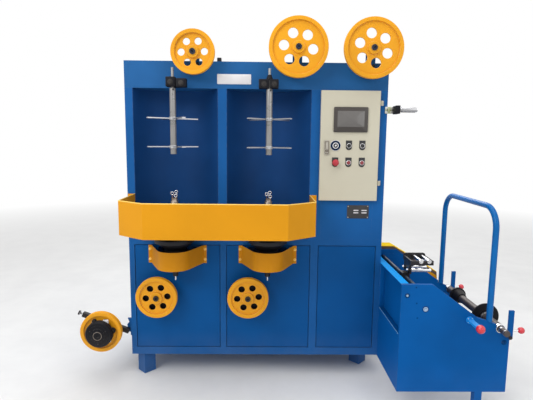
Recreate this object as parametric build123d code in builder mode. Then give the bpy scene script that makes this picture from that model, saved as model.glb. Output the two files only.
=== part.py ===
"""Vertical cable taping machine: cabinet with two taping heads, guide pulleys and a take-up stand.

Millimetres, +Z up, +X to the right and +Y into the machine as the operator sees it.
The origin is on the floor, under the middle of the whole machine's bounding box.
Heights are counted from the cabinet's underside, depths from its face.
"""
import os
from math import acos, atan2, cos, degrees, hypot, radians, sin

from build123d import *

os.makedirs("parts", exist_ok=True)

# Cabinet face from left to right: stile, bay, post, bay, post, door, stile
stile_w = 45.0
bay_w = 506.0
post_w = 50.0
right_post_w = 54.0
door_w = 350.0
right_stile_w = 49.0
cab_w = stile_w + 2 * bay_w + post_w + right_post_w + door_w + right_stile_w
cab_d = 720.0

# Cabinet upwards: feet, closed base, door with the bays beside it, header
foot_h = 140.0
base_h = 755.0
door_rise = 244.0
door_h = 652.0
door_head_gap = 5.0
header_h = 156.0
bay_high = base_h + door_rise + door_h + door_head_gap
cab_h = bay_high + header_h
door_low = base_h + door_rise
sheet_t = 3.0
seat_gap = 0.3

# Feet: square tubes set cornerwise, with sole plates
foot_side = 80.0
foot_wall = 6.0
sole_t = 10.0
left_foot_in = 74.0
right_foot_in = 80.0
left_foot_back = 70.0
right_foot_back = 200.0
rear_foot_in = 80.0

# Inset lower panels, lapped past the edges of the bays and the door above them
panel_laps = ((9.0, 6.0), (-1.0, 8.0), (-9.0, 11.0))
panel_low = 52.0
panel_head = 46.0
panel_h = base_h - panel_low - panel_head
panel_t = 14.0
panel_sink = 2.0
panel_gap = 4.0

# Hollow spindles of the taping heads, upwards: nozzle, tail, body, collar, neck
spindle_reach = 75.0
spindle_r = 22.0
spindle_bore_r = 13.0
spindle_drop = 195.0
spindle_rise = 259.0
tail_r = 16.0
tail_h = 22.0
tail_floor = 4.0
nozzle_r = 5.0
nozzle_h = 26.0
nozzle_bore_r = 3.0
collar_r = 24.0
collar_h = 43.0
neck_r = 18.0
neck_h = 16.0
run_gap = 0.05
clear = 5.0

# Eyelets on the neck: sideways, forward or back, and up from the neck's top
eyelets = ((-10.0, -12.0, 27.0), (10.0, -12.0, 13.0), (9.0, 12.6, 33.0))
eyelet_r = 11.0
eyelet_hole_r = 5.5
eyelet_t = 5.0
eyelet_stem_r = 2.0
stem_sink = 5.0

# Belt pulleys, head carriers and tape tables
belt_pulley_r = 88.0
belt_pulley_drop = 130.0
belt_pulley_h = 60.0
belt_groove = 6.0
belt_slot_w = 240.0
belt_slot_d = 150.0
belt_slot_clear = 15.0
carrier_t = 20.0
carrier_w = 230.0
carrier_back = 100.0
carrier_nose = 25.0
housing_r = 60.0
housing_h = 62.0
table_r = 225.0
table_t = 10.0
table_rise = 97.0
table_hub_r = 48.0
table_slots = 6
table_slot_w = 26.0
table_slot_in = 43.0
table_slot_out = 19.0

# Guard rail round both heads
guard_h = 190.0
guard_rise = 82.0
guard_side = 315.0
guard_front = 430.0
guard_chamfer = 155.0
guard_flange = 42.0

# Curved guards over the belt pulleys
cover_h = 112.0
cover_over = 25.0
cover_half = 159.0
cover_r = 102.0
cover_mid = 98.0
cover_flange = 20.0

# Clamps over the spare tape tubes: left, right, lower and upper edge of both clamp blocks
hanger_blocks = {"left": ((-36.0, 18.0, 0.0, 56.0), (22.0, 81.0, -2.0, 47.0)),
                 "right": ((-62.0, -2.0, -4.0, 48.0), (2.0, 52.0, -4.0, 48.0))}
hanger_lap = 2.0
hanger_d = 46.0
hanger_neck_w = 44.0
hanger_collar_r = 12.0
hanger_collar_h = 24.0
tube_r = 18.0
tube_len = 378.0
tube_pin_r = 5.0
tube_pin_drop = 15.0
rod_r = 8.0
rod_rise = 109.0
arm_lens = {"left": 306.0, "right": 332.0}
arm_turns = {"left": 33.0, "right": 45.0}
arm_w = 22.0
arm_t = 6.0
arm_rises = (40.0, 202.0)

# Grooved guide pulleys
pulley_w = 32.0
groove_d = 7.0
groove_half = 3.0
rim_edge = 2.0
rim_t = 22.0
web_t = 9.0
hub_r = 34.0
hub_w = 38.0
axle_r = 12.0
axle_gap = 1.0
cap_r = 17.0
cap_t = 7.0
small_r = 125.0
large_r = 170.0
small_hole_r = 20.0
small_hole_orbit = 66.0
large_hole_r = 29.0
large_hole_orbit = 84.0
pulley_holes = 6
low_pulley_drop = 354.0
top_small_rise = 38.0
top_large_rise = 71.0
last_pulley_in = 114.0
bracket_w = 56.0
bracket_t = 12.0
bracket_grip = 72.0
boss_r = 24.0
stud_flange_r = 40.0
stud_flange_t = 8.0

# Entry pulley on its tilted arm, with the brake in front
entry_out = 163.0
entry_z = 182.0
arm_root = 18.0
arm_rise = 149.0
arm_total = 308.0
arm_tilt = 21.0
bar_side = 28.0
arm_y = 10.0
tip_bolt_r = 6.0
tip_bolt_len = 18.0
tip_head_r = 14.0
tip_head_t = 10.0
entry_plate_r = 56.0
entry_plate_t = 8.0
side_plate_t = 8.0
side_plate_d = 95.0
side_plate_low = 123.0
side_plate_h = 105.0
gusset_t = 10.0
gusset_outline = ((0.0, 10.0), (22.0, 20.0), (26.0, 64.0), (12.0, 80.0), (22.0, 105.0),
                  (0.0, 105.0))
brake_gap = 2.0
brake_neck_r = 20.0
brake_r = 78.0
brake_w = 38.0
brake_edge = 7.0
brake_rings = (62.0, 44.0, 27.0)
brake_ring_t = 4.0
brake_lug_turns = (17.0, 111.0)
brake_lug_r = 14.0
brake_lug_out = 4.0
brake_lug_t = 12.0

# Control door and its fittings
door_t = 25.0
door_skin = 2.0
door_gap = 1.0
door_lap = 18.0
hinge_x = 11.0
hinge_y = 13.0
hinge_r = 7.0
hinge_pin_r = 3.0
hinge_h = 28.0
hinge_leaf_w = 14.0
hinge_leaf_t = 3.0
hinge_arm_t = 5.0
knuckle_gap = 1.0
hinge_rises = (106.0, 582.0)
screen_w = 202.0
screen_h = 147.0
screen_t = 9.0
screen_off = 2.0
screen_rise = 483.0
screen_rim = 20.0
screen_sink = 2.0
screen_corner = 5.0
button_off = -4.0
button_pitch = 80.0
button_rises = (229.0, 330.0)
button_r = 20.0
button_base_t = 6.0
button_cap_r = 14.0
button_cap_t = 6.0
mushroom_stem_r = 11.0
mushroom_stem_h = 16.0
mushroom_t = 10.0
knob_bar_w = 10.0
knob_bar_h = 34.0
knob_bar_t = 16.0
lock_mid = 38.0
lock_rise = 319.0
lock_w = 28.0
lock_h = 86.0
lock_t = 6.0
lock_grip_w = 16.0
lock_grip_h = 56.0
lock_grip_off = -8.0
lock_grip_t = 8.0
lock_eye_r = 9.0
lock_eye_off = 30.0
lock_eye_t = 6.0
plate_inset = 12.0
standoff = 14.0
standoff_r = 8.0
standoff_in = 20.0

# Guide roller beside the cabinet
roller_r = 16.5
roller_len = 98.0
roller_z = 1541.0
roller_y = 55.0
roller_axle_r = 6.0
roller_block_w = 25.0
roller_block_h = 48.0
roller_block_front = 18.0
roller_out = 32.0
roller_plate_h = 40.0
roller_plate_t = 6.0
roller_plate_lap = 15.0
roller_plate_back = 60.0
roller_end_gap = 1.0
roller_nut_r = 10.0
roller_nut_t = 4.0

# Take-up stand: side wall with a lip, and two panels with a sloping top edge
stand_w = 598.0
stand_front = 426.0
stand_pitch = 656.0
stand_wall_t = 20.0
stand_h = 605.0
stand_mid_h = 423.0
stand_low_h = 387.0
stand_end_h = 328.0
stand_end_run = 74.0
stand_flat = 168.0
stand_slope_end = 418.0
wall_base_h = 320.0
wall_base_t = 44.0
wall_sheet_t = 12.0
wall_lip_t = 6.0
stand_foot_u = 450.0
stand_foot_side = 40.0
stand_foot_wall = 6.0

# Reel shaft, cones and latches
shaft_u = 545.0
shaft_h = 362.0
shaft_r = 24.0
journal_r = 17.0
journal_near = 68.0
journal_far = 24.0
seat_r = 24.0
cone_len = 60.0
near_cone_in = 146.0
near_cone_r = 80.0
far_cone_in = 130.0
far_cone_r = 45.0
cone_tip = 6.0
cone_flange_r = 52.0
cone_flange_t = 12.0
latch_u = 584.0
latch_h = 326.0
latch_len = 148.0
latch_w = 26.0
latch_t = 12.0
latch_stand_off = 17.0
latch_pin_r = 6.0
latch_cap_r = 10.0
latch_cap_t = 5.0
knob_r = 18.0
knob_reach = 59.0
knob_rise = 38.0
stem_r = 5.0
stem_grip = 3.0
peg_u = 375.0
peg_h = 411.0
peg_len = 98.0
peg_w = 30.0
peg_t = 12.0
peg_ball_r = 22.5
peg_tip = 5.0
peg_foot_r = 20.0
peg_foot_t = 6.0

# Hoop standing on the panels' sloping edges
hoop_r = 16.0
hoop_u = 485.0
hoop_top = 1015.0
hoop_bend = 75.0
hoop_cut = 10.0

# Traverse rods and the cable guide that slides on them
screw_u = 80.0
screw_h = 588.0
guide_h = 503.0
screw_r = 12.0
carriage_y = 220.0
block_half = 22.0
block_d = 50.0
block_under = 25.0
block_over = 28.0
upright_t = 12.0
upright_half = 50.0
upright_under = 20.0
frame_half = 70.0
frame_rise = 36.0
near_cheek_h = 25.0
far_cheek_h = 39.0
cheek_t = 8.0
cheek_round = 14.0
fair_u = 170.0
fair_x_h = 636.0
fair_step = 57.0
fair_r = 11.0
fair_gap = 24.0
fair_bolt_r = 9.0
fair_bolt_t = 6.0

# Cover over the drive chain behind the far panel
chain_t = 105.0
chain_in = 5.0
chain_top = 655.0
chain_flat = 155.0
chain_end = 456.0
chain_end_top = 478.0
chain_end_low = 388.0
chain_nose = 10.0
chain_tail = 90.0
chain_low = 480.0
chain_low_u = 100.0

# Placing: the bounding box is centred on the origin
machine_left = (cab_w / 2 + arm_root
                + (arm_total + tip_bolt_len + tip_head_t) * cos(radians(arm_tilt))
                + tip_head_r * sin(radians(arm_tilt)))
machine_right = cab_w / 2 + latch_u + knob_reach + knob_r
machine_front = stand_front + peg_len + peg_ball_r * 2
x0 = (machine_left - machine_right) / 2
y0 = (machine_front - cab_d) / 2
z0 = foot_h

x_left = x0 - cab_w / 2
x_right = x0 + cab_w / 2
roof_z = z0 + cab_h
bay_top = z0 + bay_high
bay_low = z0 + base_h
spindle_x = {"left": x_left + stile_w + bay_w / 2}
spindle_x["right"] = spindle_x["left"] + bay_w + post_w
spindle_y = y0 - spindle_reach
liner_r = hypot(bay_w / 2, spindle_reach)
bay_d = liner_r - spindle_reach + seat_gap
door_x = spindle_x["right"] + bay_w / 2 + right_post_w
door_right = door_x + door_w
panel_face = y0 + panel_sink


def box(x_low, x_high, y_low, y_high, z_low, z_high, mode=Mode.ADD):
    """A plain block between two corners, added to the part being built."""
    with Locations(((x_low + x_high) / 2, (y_low + y_high) / 2, (z_low + z_high) / 2)):
        Box(x_high - x_low, y_high - y_low, z_high - z_low, mode=mode)


def lying_cylinder(radius, x, z, y_low, y_high, mode=Mode.ADD):
    """A cylinder along Y between two depths."""
    with Locations(Location((x, (y_low + y_high) / 2, z), (90, 0, 0))):
        Cylinder(radius, y_high - y_low, mode=mode)


def long_cylinder(radius, y, z, x_low, x_high, mode=Mode.ADD):
    """A cylinder along X between two positions."""
    with Locations(Location(((x_low + x_high) / 2, y, z), (0, 90, 0))):
        Cylinder(radius, x_high - x_low, mode=mode)


def post(radius, x, y, z_low, z_high, mode=Mode.ADD):
    """An upright cylinder between two heights."""
    with Locations((x, y, (z_low + z_high) / 2)):
        Cylinder(radius, z_high - z_low, mode=mode)


# Cabinet base: closed housing with three panel recesses and two belt slots in its face
bay_edges = [(middle - bay_w / 2, middle + bay_w / 2) for middle in spindle_x.values()]
panel_spans = [(low - laps[0], high + laps[1])
               for (low, high), laps in zip(bay_edges + [(door_x, door_right)], panel_laps)]
pocket_d = panel_t + panel_sink
belt_pulley_low = bay_low - belt_pulley_drop
belt_pulley_top = belt_pulley_low + belt_pulley_h
belt_slots = [(middle - belt_slot_w / 2, middle + belt_slot_w / 2, y0, y0 + belt_slot_d,
               belt_pulley_low - belt_slot_clear, belt_pulley_top + belt_slot_clear)
              for middle in spindle_x.values()]
with BuildPart() as cabinet_base:
    box(x_left, x_right, y0, y0 + cab_d, z0, bay_low)
    for low_x, high_x in panel_spans:
        box(low_x - panel_gap, high_x + panel_gap, y0, y0 + pocket_d,
            z0 + panel_low - panel_gap, z0 + panel_low + panel_h + panel_gap, Mode.SUBTRACT)
    for slot in belt_slots:
        box(*slot, Mode.SUBTRACT)
cabinet_base.part.label = "cabinet_base"
export_step(cabinet_base.part, "parts/cabinet_base.step")

# Lower panels: trays that sit in the recesses, cut away round the belt slots
with BuildPart() as lower_panels:
    for low_x, high_x in panel_spans:
        box(low_x, high_x, panel_face, panel_face + panel_t, z0 + panel_low,
            z0 + panel_low + panel_h)
    for slot in belt_slots:
        box(*slot, Mode.SUBTRACT)
lower_panels.part.label = "lower_panels"
export_step(lower_panels.part, "parts/lower_panels.step")

# Posts round the bays and the control compartment, with the rails and the housing behind
post_spans = [
    (x_left, x_left + stile_w),
    (spindle_x["left"] + bay_w / 2, spindle_x["right"] - bay_w / 2),
    (spindle_x["right"] + bay_w / 2, door_x + door_lap),
    (door_right - door_lap, x_right),
]
with BuildPart() as cabinet_posts:
    for low_x, high_x in post_spans:
        box(low_x, high_x, y0, y0 + bay_d, bay_low, bay_top)
cabinet_posts.part.label = "cabinet_posts"
export_step(cabinet_posts.part, "parts/cabinet_posts.step")

door_low_z = z0 + door_low
door_top_z = door_low_z + door_h
with BuildPart() as control_bay_rails:
    box(door_x + door_lap, door_right - door_lap, y0, y0 + bay_d, bay_low,
        door_low_z + door_lap)
    box(door_x + door_lap, door_right - door_lap, y0, y0 + bay_d, door_top_z - door_lap,
        bay_top)
control_bay_rails.part.label = "control_bay_rails"
export_step(control_bay_rails.part, "parts/control_bay_rails.step")

with BuildPart() as rear_housing:
    box(x_left, x_right, y0 + bay_d, y0 + cab_d, bay_low, bay_top)
rear_housing.part.label = "rear_housing"
export_step(rear_housing.part, "parts/rear_housing.step")

with BuildPart() as cabinet_header:
    box(x_left, x_right, y0, y0 + cab_d, bay_top, roof_z)
cabinet_header.part.label = "cabinet_header"
export_step(cabinet_header.part, "parts/cabinet_header.step")

# Curved liner of each bay, an arc about the spindle
with BuildPart() as bay_liners:
    for middle in spindle_x.values():
        with BuildSketch(Plane.XY.offset(bay_low)):
            with Locations((middle, spindle_y)):
                Circle(liner_r)
                Circle(liner_r - sheet_t, mode=Mode.SUBTRACT)
            with Locations((middle, y0 - liner_r)):
                Rectangle(liner_r * 2 + 1, liner_r * 2, mode=Mode.SUBTRACT)
        extrude(amount=bay_top - bay_low)
bay_liners.part.label = "bay_liners"
export_step(bay_liners.part, "parts/bay_liners.step")

foot_spots = [(x_left + left_foot_in, y0 + left_foot_back),
              (x_left + left_foot_in, y0 + cab_d - rear_foot_in),
              (x_right - right_foot_in, y0 + right_foot_back),
              (x_right - right_foot_in, y0 + cab_d - rear_foot_in)]
foot_inner = foot_side - 2 * foot_wall
with BuildPart() as cabinet_feet:
    for foot_x, foot_y in foot_spots:
        turned = Location((foot_x, foot_y, 0), (0, 0, 45))
        with BuildSketch(Plane.XY):
            with Locations(turned):
                Rectangle(foot_side, foot_side)
        extrude(amount=sole_t)
        with BuildSketch(Plane.XY.offset(sole_t)):
            with Locations(turned):
                Rectangle(foot_side, foot_side)
                Rectangle(foot_inner, foot_inner, mode=Mode.SUBTRACT)
        extrude(amount=foot_h - sole_t)
cabinet_feet.part.label = "cabinet_feet"
export_step(cabinet_feet.part, "parts/cabinet_feet.step")

# Guard rail: one sheet folded round the front of both heads
guard_left = spindle_x["left"] - bay_w / 2
guard_right = spindle_x["right"] + bay_w / 2
with BuildPart() as guard_rail:
    with BuildSketch(Plane.XY.offset(bay_low + guard_rise)):
        with BuildLine():
            Polyline(
                (guard_left - guard_flange, y0),
                (guard_left, y0),
                (guard_left, y0 - guard_side),
                (guard_left + guard_chamfer, y0 - guard_front),
                (guard_right - guard_chamfer, y0 - guard_front),
                (guard_right, y0 - guard_side),
                (guard_right, y0),
                (guard_right + guard_flange, y0),
            )
            offset(amount=sheet_t, side=Side.RIGHT, kind=Kind.INTERSECTION)
        make_face()
    extrude(amount=guard_h)
guard_rail.part.label = "guard_rail"
export_step(guard_rail.part, "parts/guard_rail.step")

# Curved guards over the belt pulleys: straight sides that run on into one front arc
side_run = hypot(cover_half, cover_mid + panel_sink)
side_turn = atan2(cover_mid + panel_sink, cover_half) - acos(cover_r / side_run)
touch_x = cover_r * cos(side_turn)
touch_y = y0 - cover_mid + cover_r * sin(side_turn)
with BuildPart() as pulley_guards:
    for middle in spindle_x.values():
        with BuildSketch(Plane.XY.offset(belt_pulley_top + cover_over - cover_h)):
            with BuildLine():
                Polyline((middle - cover_half - cover_flange, panel_face),
                         (middle - cover_half, panel_face),
                         (middle - touch_x, touch_y))
                ThreePointArc((middle - touch_x, touch_y),
                              (middle, y0 - cover_mid - cover_r),
                              (middle + touch_x, touch_y))
                Polyline((middle + touch_x, touch_y),
                         (middle + cover_half, panel_face),
                         (middle + cover_half + cover_flange, panel_face))
                offset(amount=sheet_t, side=Side.RIGHT, kind=Kind.INTERSECTION)
            make_face()
        extrude(amount=cover_h)
pulley_guards.part.label = "pulley_guards"
export_step(pulley_guards.part, "parts/pulley_guards.step")

# Head carriers: a round-nosed plate on the bay floor with the bearing housing under its nose
nose_y = spindle_y - carrier_nose
with BuildPart() as head_carriers:
    for middle in spindle_x.values():
        with BuildSketch(Plane.XY.offset(bay_low)):
            with Locations((middle, nose_y)):
                Circle(carrier_w / 2)
            with Locations((middle, (nose_y + y0 + carrier_back) / 2)):
                Rectangle(carrier_w, y0 + carrier_back - nose_y)
        extrude(amount=carrier_t)
        post(housing_r, middle, spindle_y, bay_low - housing_h, bay_low + carrier_t)
        post(spindle_r + run_gap, middle, spindle_y, bay_low - housing_h,
             bay_low + carrier_t, Mode.SUBTRACT)
head_carriers.part.label = "head_carriers"
export_step(head_carriers.part, "parts/head_carriers.step")

# Turning heads: hollow spindle with its eyelets, belt pulley and tape table
spindle_low = bay_low - spindle_drop
spindle_top = bay_low + spindle_rise
tail_low = spindle_low - tail_h
table_low = bay_low + table_rise
table_top = table_low + table_t
slot_mid = (table_hub_r + table_slot_in + table_r - table_slot_out) / 2
slot_len = table_r - table_slot_out - table_hub_r - table_slot_in
for side in ("left", "right"):
    middle = spindle_x[side]
    with BuildPart() as spindle:
        post(spindle_r, middle, spindle_y, spindle_low, spindle_top - neck_h)
        post(collar_r, middle, spindle_y, spindle_top - neck_h - collar_h,
             spindle_top - neck_h)
        post(neck_r, middle, spindle_y, spindle_top - neck_h, spindle_top)
        post(tail_r, middle, spindle_y, tail_low, spindle_low)
        post(nozzle_r, middle, spindle_y, tail_low - nozzle_h, tail_low)
        for across, deep, up in eyelets:
            lying_cylinder(eyelet_r, middle + across, spindle_top + up,
                           spindle_y + deep - eyelet_t / 2, spindle_y + deep + eyelet_t / 2)
            post(eyelet_stem_r, middle + across, spindle_y + deep, spindle_top - stem_sink,
                 spindle_top + up - eyelet_hole_r)
            lying_cylinder(eyelet_hole_r, middle + across, spindle_top + up,
                           spindle_y + deep - eyelet_t, spindle_y + deep + eyelet_t,
                           Mode.SUBTRACT)
        post(spindle_bore_r, middle, spindle_y, tail_low + tail_floor, spindle_top,
             Mode.SUBTRACT)
        post(nozzle_bore_r, middle, spindle_y, tail_low - nozzle_h, tail_low + tail_floor,
             Mode.SUBTRACT)
    spindle.part.label = f"{side}_spindle"
    export_step(spindle.part, f"parts/{side}_spindle.step")

    with BuildPart() as belt_pulley:
        post(belt_pulley_r, middle, spindle_y, belt_pulley_low, belt_pulley_top)
        with BuildSketch(Plane.XY.offset(belt_pulley_low + belt_groove)):
            with Locations((middle, spindle_y)):
                Circle(belt_pulley_r)
                Circle(belt_pulley_r - belt_groove, mode=Mode.SUBTRACT)
        extrude(amount=belt_pulley_h - 2 * belt_groove, mode=Mode.SUBTRACT)
        post(spindle_r, middle, spindle_y, belt_pulley_low, belt_pulley_top, Mode.SUBTRACT)
    belt_pulley.part.label = f"{side}_belt_pulley"
    export_step(belt_pulley.part, f"parts/{side}_belt_pulley.step")

    with BuildPart() as tape_table:
        post(table_r, middle, spindle_y, table_low, table_top)
        post(table_hub_r, middle, spindle_y, bay_low + carrier_t + clear, table_top)
        for turn in range(table_slots):
            angle = 360 / table_slots * turn
            with Locations(Location((middle + slot_mid * cos(radians(angle)),
                                     spindle_y + slot_mid * sin(radians(angle)),
                                     (table_low + table_top) / 2), (0, 0, angle))):
                Box(slot_len, table_slot_w, table_t, mode=Mode.SUBTRACT)
        post(spindle_r, middle, spindle_y, bay_low, table_top, Mode.SUBTRACT)
    tape_table.part.label = f"{side}_tape_table"
    export_step(tape_table.part, f"parts/{side}_tape_table.step")

# Clamps that hang the spare tape tubes from the header: two blocks, a bar and a collar
hanger_low = bay_top - hanger_lap
hanger_front = spindle_y - hanger_d / 2
hanger_back = spindle_y + hanger_d / 2
with BuildPart() as tube_hangers:
    for side, blocks in hanger_blocks.items():
        middle = spindle_x[side]
        bar_low = hanger_low + max(block[2] for block in blocks)
        bar_top = hanger_low + min(block[3] for block in blocks)
        for left, right, low, high in blocks:
            box(middle + left, middle + right, hanger_front, hanger_back, hanger_low + low,
                hanger_low + high)
        box(middle + blocks[0][0], middle + blocks[1][1], spindle_y, hanger_back, bar_low,
            bar_top)
        box(middle - hanger_neck_w / 2, middle + hanger_neck_w / 2, hanger_back, y0, bay_top,
            bar_top)
        post(hanger_collar_r, middle, spindle_y, bar_low,
             hanger_low + blocks[0][3] + hanger_collar_h)
        post(rod_r, middle, spindle_y, hanger_low + blocks[1][2],
             hanger_low + blocks[0][3] + hanger_collar_h, Mode.SUBTRACT)
tube_hangers.part.label = "tube_hangers"
export_step(tube_hangers.part, "parts/tube_hangers.step")

tube_top = hanger_low - clear
tube_low = tube_top - tube_len
with BuildPart() as spare_tubes:
    for middle in spindle_x.values():
        post(tube_r, middle, spindle_y, tube_low, tube_top)
        post(rod_r, middle, spindle_y, tube_top, hanger_low + rod_rise)
        post(tube_r - sheet_t, middle, spindle_y, tube_low, tube_top - tube_r * 2,
             Mode.SUBTRACT)
        lying_cylinder(tube_pin_r, middle, tube_top - tube_pin_drop, spindle_y - tube_r,
                       spindle_y - tube_r / 2, Mode.SUBTRACT)
spare_tubes.part.label = "spare_tubes"
export_step(spare_tubes.part, "parts/spare_tubes.step")

# Crossed tension arms gripped on the tubes
with BuildPart() as cross_arms:
    for side in ("left", "right"):
        for rise in arm_rises:
            arm_z = tube_low + rise
            for turn in (arm_turns[side], arm_turns[side] + 90):
                with Locations(Location((spindle_x[side], spindle_y, arm_z + arm_t / 2),
                                        (0, 0, turn))):
                    Box(arm_lens[side], arm_w, arm_t)
            post(tube_r + arm_t, spindle_x[side], spindle_y, arm_z - arm_t,
                 arm_z + arm_t * 2)
            post(tube_r, spindle_x[side], spindle_y, arm_z - arm_t, arm_z + arm_t * 2,
                 Mode.SUBTRACT)
cross_arms.part.label = "cross_arms"
export_step(cross_arms.part, "parts/cross_arms.step")

# Guide pulleys: name, axle position, rim radius and the turn of the first hole
low_pulley_z = bay_low - low_pulley_drop
pulleys = {
    "entry_pulley": (x_left - entry_out, z0 + entry_z, small_r, 20.0),
    "left_lower_pulley": (spindle_x["left"] - small_r + groove_d, low_pulley_z, small_r, 5.7),
    "right_lower_pulley": (spindle_x["right"] - small_r + groove_d, low_pulley_z, small_r,
                           5.7),
    "left_top_pulley": (spindle_x["left"] + small_r - groove_d, roof_z + top_small_rise,
                        small_r, 2.0),
    "middle_top_pulley": (spindle_x["right"] + large_r - groove_d, roof_z + top_large_rise,
                          large_r, -7.2),
    "right_top_pulley": (x_right - last_pulley_in, roof_z + top_large_rise, large_r, 40.5),
}
hole_sizes = {small_r: (small_hole_r, small_hole_orbit),
              large_r: (large_hole_r, large_hole_orbit)}
half_w = pulley_w / 2
axle_bore = axle_r + run_gap
for name, (axle_x, axle_z, rim, first_hole) in pulleys.items():
    hole_r, hole_orbit = hole_sizes[rim]
    outline = [
        (axle_bore, hub_w / 2), (hub_r, hub_w / 2), (hub_r, web_t / 2),
        (rim - rim_t, web_t / 2), (rim - rim_t, half_w), (rim, half_w),
        (rim, half_w - rim_edge), (rim - groove_d, groove_half),
        (rim - groove_d, -groove_half), (rim, rim_edge - half_w), (rim, -half_w),
        (rim - rim_t, -half_w), (rim - rim_t, -web_t / 2), (hub_r, -web_t / 2),
        (hub_r, -hub_w / 2), (axle_bore, -hub_w / 2),
    ]
    with BuildPart() as pulley:
        with BuildSketch(Plane.XY.offset(axle_z)):
            with BuildLine():
                Polyline(*[(axle_x + r, spindle_y + across) for r, across in outline],
                         close=True)
            make_face()
        revolve(axis=Axis((axle_x, spindle_y, axle_z), (0, 1, 0)))
        for turn in range(pulley_holes):
            angle = radians(first_hole + 360 / pulley_holes * turn)
            lying_cylinder(hole_r, axle_x + hole_orbit * cos(angle),
                           axle_z + hole_orbit * sin(angle), spindle_y - web_t,
                           spindle_y + web_t, Mode.SUBTRACT)
    pulley.part.label = name
    export_step(pulley.part, f"parts/{name}.step")

# Brackets that carry the three top pulleys, each with its axle and end cap
boss_end = spindle_y + hub_w / 2 + axle_gap
cap_back = spindle_y - hub_w / 2 - axle_gap
with BuildPart() as top_pulley_brackets:
    for name in ("left_top_pulley", "middle_top_pulley", "right_top_pulley"):
        axle_x, axle_z = pulleys[name][:2]
        box(axle_x - bracket_w / 2, axle_x + bracket_w / 2, y0 - bracket_t, y0,
            roof_z - bracket_grip, axle_z)
        lying_cylinder(bracket_w / 2, axle_x, axle_z, y0 - bracket_t, y0)
        lying_cylinder(boss_r, axle_x, axle_z, boss_end, y0 - bracket_t)
        lying_cylinder(axle_r, axle_x, axle_z, cap_back, boss_end)
        lying_cylinder(cap_r, axle_x, axle_z, cap_back - cap_t, cap_back)
top_pulley_brackets.part.label = "top_pulley_brackets"
export_step(top_pulley_brackets.part, "parts/top_pulley_brackets.step")

# Studs that carry the lower pulleys on the panels
with BuildPart() as lower_pulley_studs:
    for name in ("left_lower_pulley", "right_lower_pulley"):
        axle_x, axle_z = pulleys[name][:2]
        lying_cylinder(stud_flange_r, axle_x, axle_z, panel_face - stud_flange_t, panel_face)
        lying_cylinder(boss_r, axle_x, axle_z, boss_end, panel_face - stud_flange_t)
        lying_cylinder(axle_r, axle_x, axle_z, cap_back, boss_end)
        lying_cylinder(cap_r, axle_x, axle_z, cap_back - cap_t, cap_back)
lower_pulley_studs.part.label = "lower_pulley_studs"
export_step(lower_pulley_studs.part, "parts/lower_pulley_studs.step")

# Entry bracket: plate on the cabinet side and an angular gusset behind the arm
entry_axle_x, entry_axle_z = pulleys["entry_pulley"][:2]
arm_front = y0 + arm_y - bar_side / 2
arm_rear = arm_front + bar_side
side_plate_x = x_left - side_plate_t
with BuildPart() as entry_bracket:
    box(side_plate_x, x_left, y0 + clear, y0 + side_plate_d, z0 + side_plate_low,
        z0 + side_plate_low + side_plate_h)
    with BuildSketch(Plane(origin=(side_plate_x, arm_rear, z0 + side_plate_low),
                           x_dir=(1, 0, 0), z_dir=(0, -1, 0))):
        with BuildLine():
            Polyline(*[(-out, up) for out, up in gusset_outline], close=True)
        make_face()
    extrude(amount=-gusset_t)
entry_bracket.part.label = "entry_bracket"
export_step(entry_bracket.part, "parts/entry_bracket.step")


def along_arm(reach):
    """The place on the arm's middle line this far from its root, turned with the arm."""
    return Location((x_left - arm_root - cos(radians(arm_tilt)) * reach, y0 + arm_y,
                     z0 + arm_rise + sin(radians(arm_tilt)) * reach), (0, arm_tilt, 0))


# Entry arm: tilted square bar with the pulley's axle plate, and an adjusting bolt at its tip
with BuildPart() as entry_arm:
    with Locations(along_arm(arm_total / 2)):
        Box(arm_total, bar_side, bar_side)
    for reach, radius, length in ((arm_total, tip_bolt_r, tip_bolt_len),
                                  (arm_total + tip_bolt_len, tip_head_r, tip_head_t)):
        with Locations(along_arm(reach + length / 2) * Location((0, 0, 0), (0, 90, 0))):
            Cylinder(radius, length)
    lying_cylinder(entry_plate_r, entry_axle_x, entry_axle_z, arm_front - entry_plate_t,
                   arm_front)
    lying_cylinder(boss_r, entry_axle_x, entry_axle_z, boss_end, arm_front - entry_plate_t)
    lying_cylinder(axle_r, entry_axle_x, entry_axle_z, cap_back, boss_end)
entry_arm.part.label = "entry_arm"
export_step(entry_arm.part, "parts/entry_arm.step")

# Brake in front of the entry pulley: chamfered drum with stepped rings and two lugs
brake_back = cap_back - brake_gap
brake_front = brake_back - brake_w
with BuildPart() as entry_brake:
    lying_cylinder(brake_neck_r, entry_axle_x, entry_axle_z, brake_back, cap_back)
    lying_cylinder(brake_r, entry_axle_x, entry_axle_z, brake_front + brake_edge, brake_back)
    with Locations(Location((entry_axle_x, brake_front + brake_edge / 2, entry_axle_z),
                            (90, 0, 0))):
        Cone(brake_r, brake_r - brake_edge, brake_edge)
    for step, radius in enumerate(brake_rings):
        lying_cylinder(radius, entry_axle_x, entry_axle_z,
                       brake_front - brake_ring_t * (step + 1),
                       brake_front - brake_ring_t * step)
    for turn in brake_lug_turns:
        lug_x = entry_axle_x + (brake_r + brake_lug_out) * cos(radians(turn))
        lug_z = entry_axle_z + (brake_r + brake_lug_out) * sin(radians(turn))
        lying_cylinder(brake_lug_r, lug_x, lug_z, brake_back - brake_lug_t, brake_back)
entry_brake.part.label = "entry_brake"
export_step(entry_brake.part, "parts/entry_brake.step")

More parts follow.
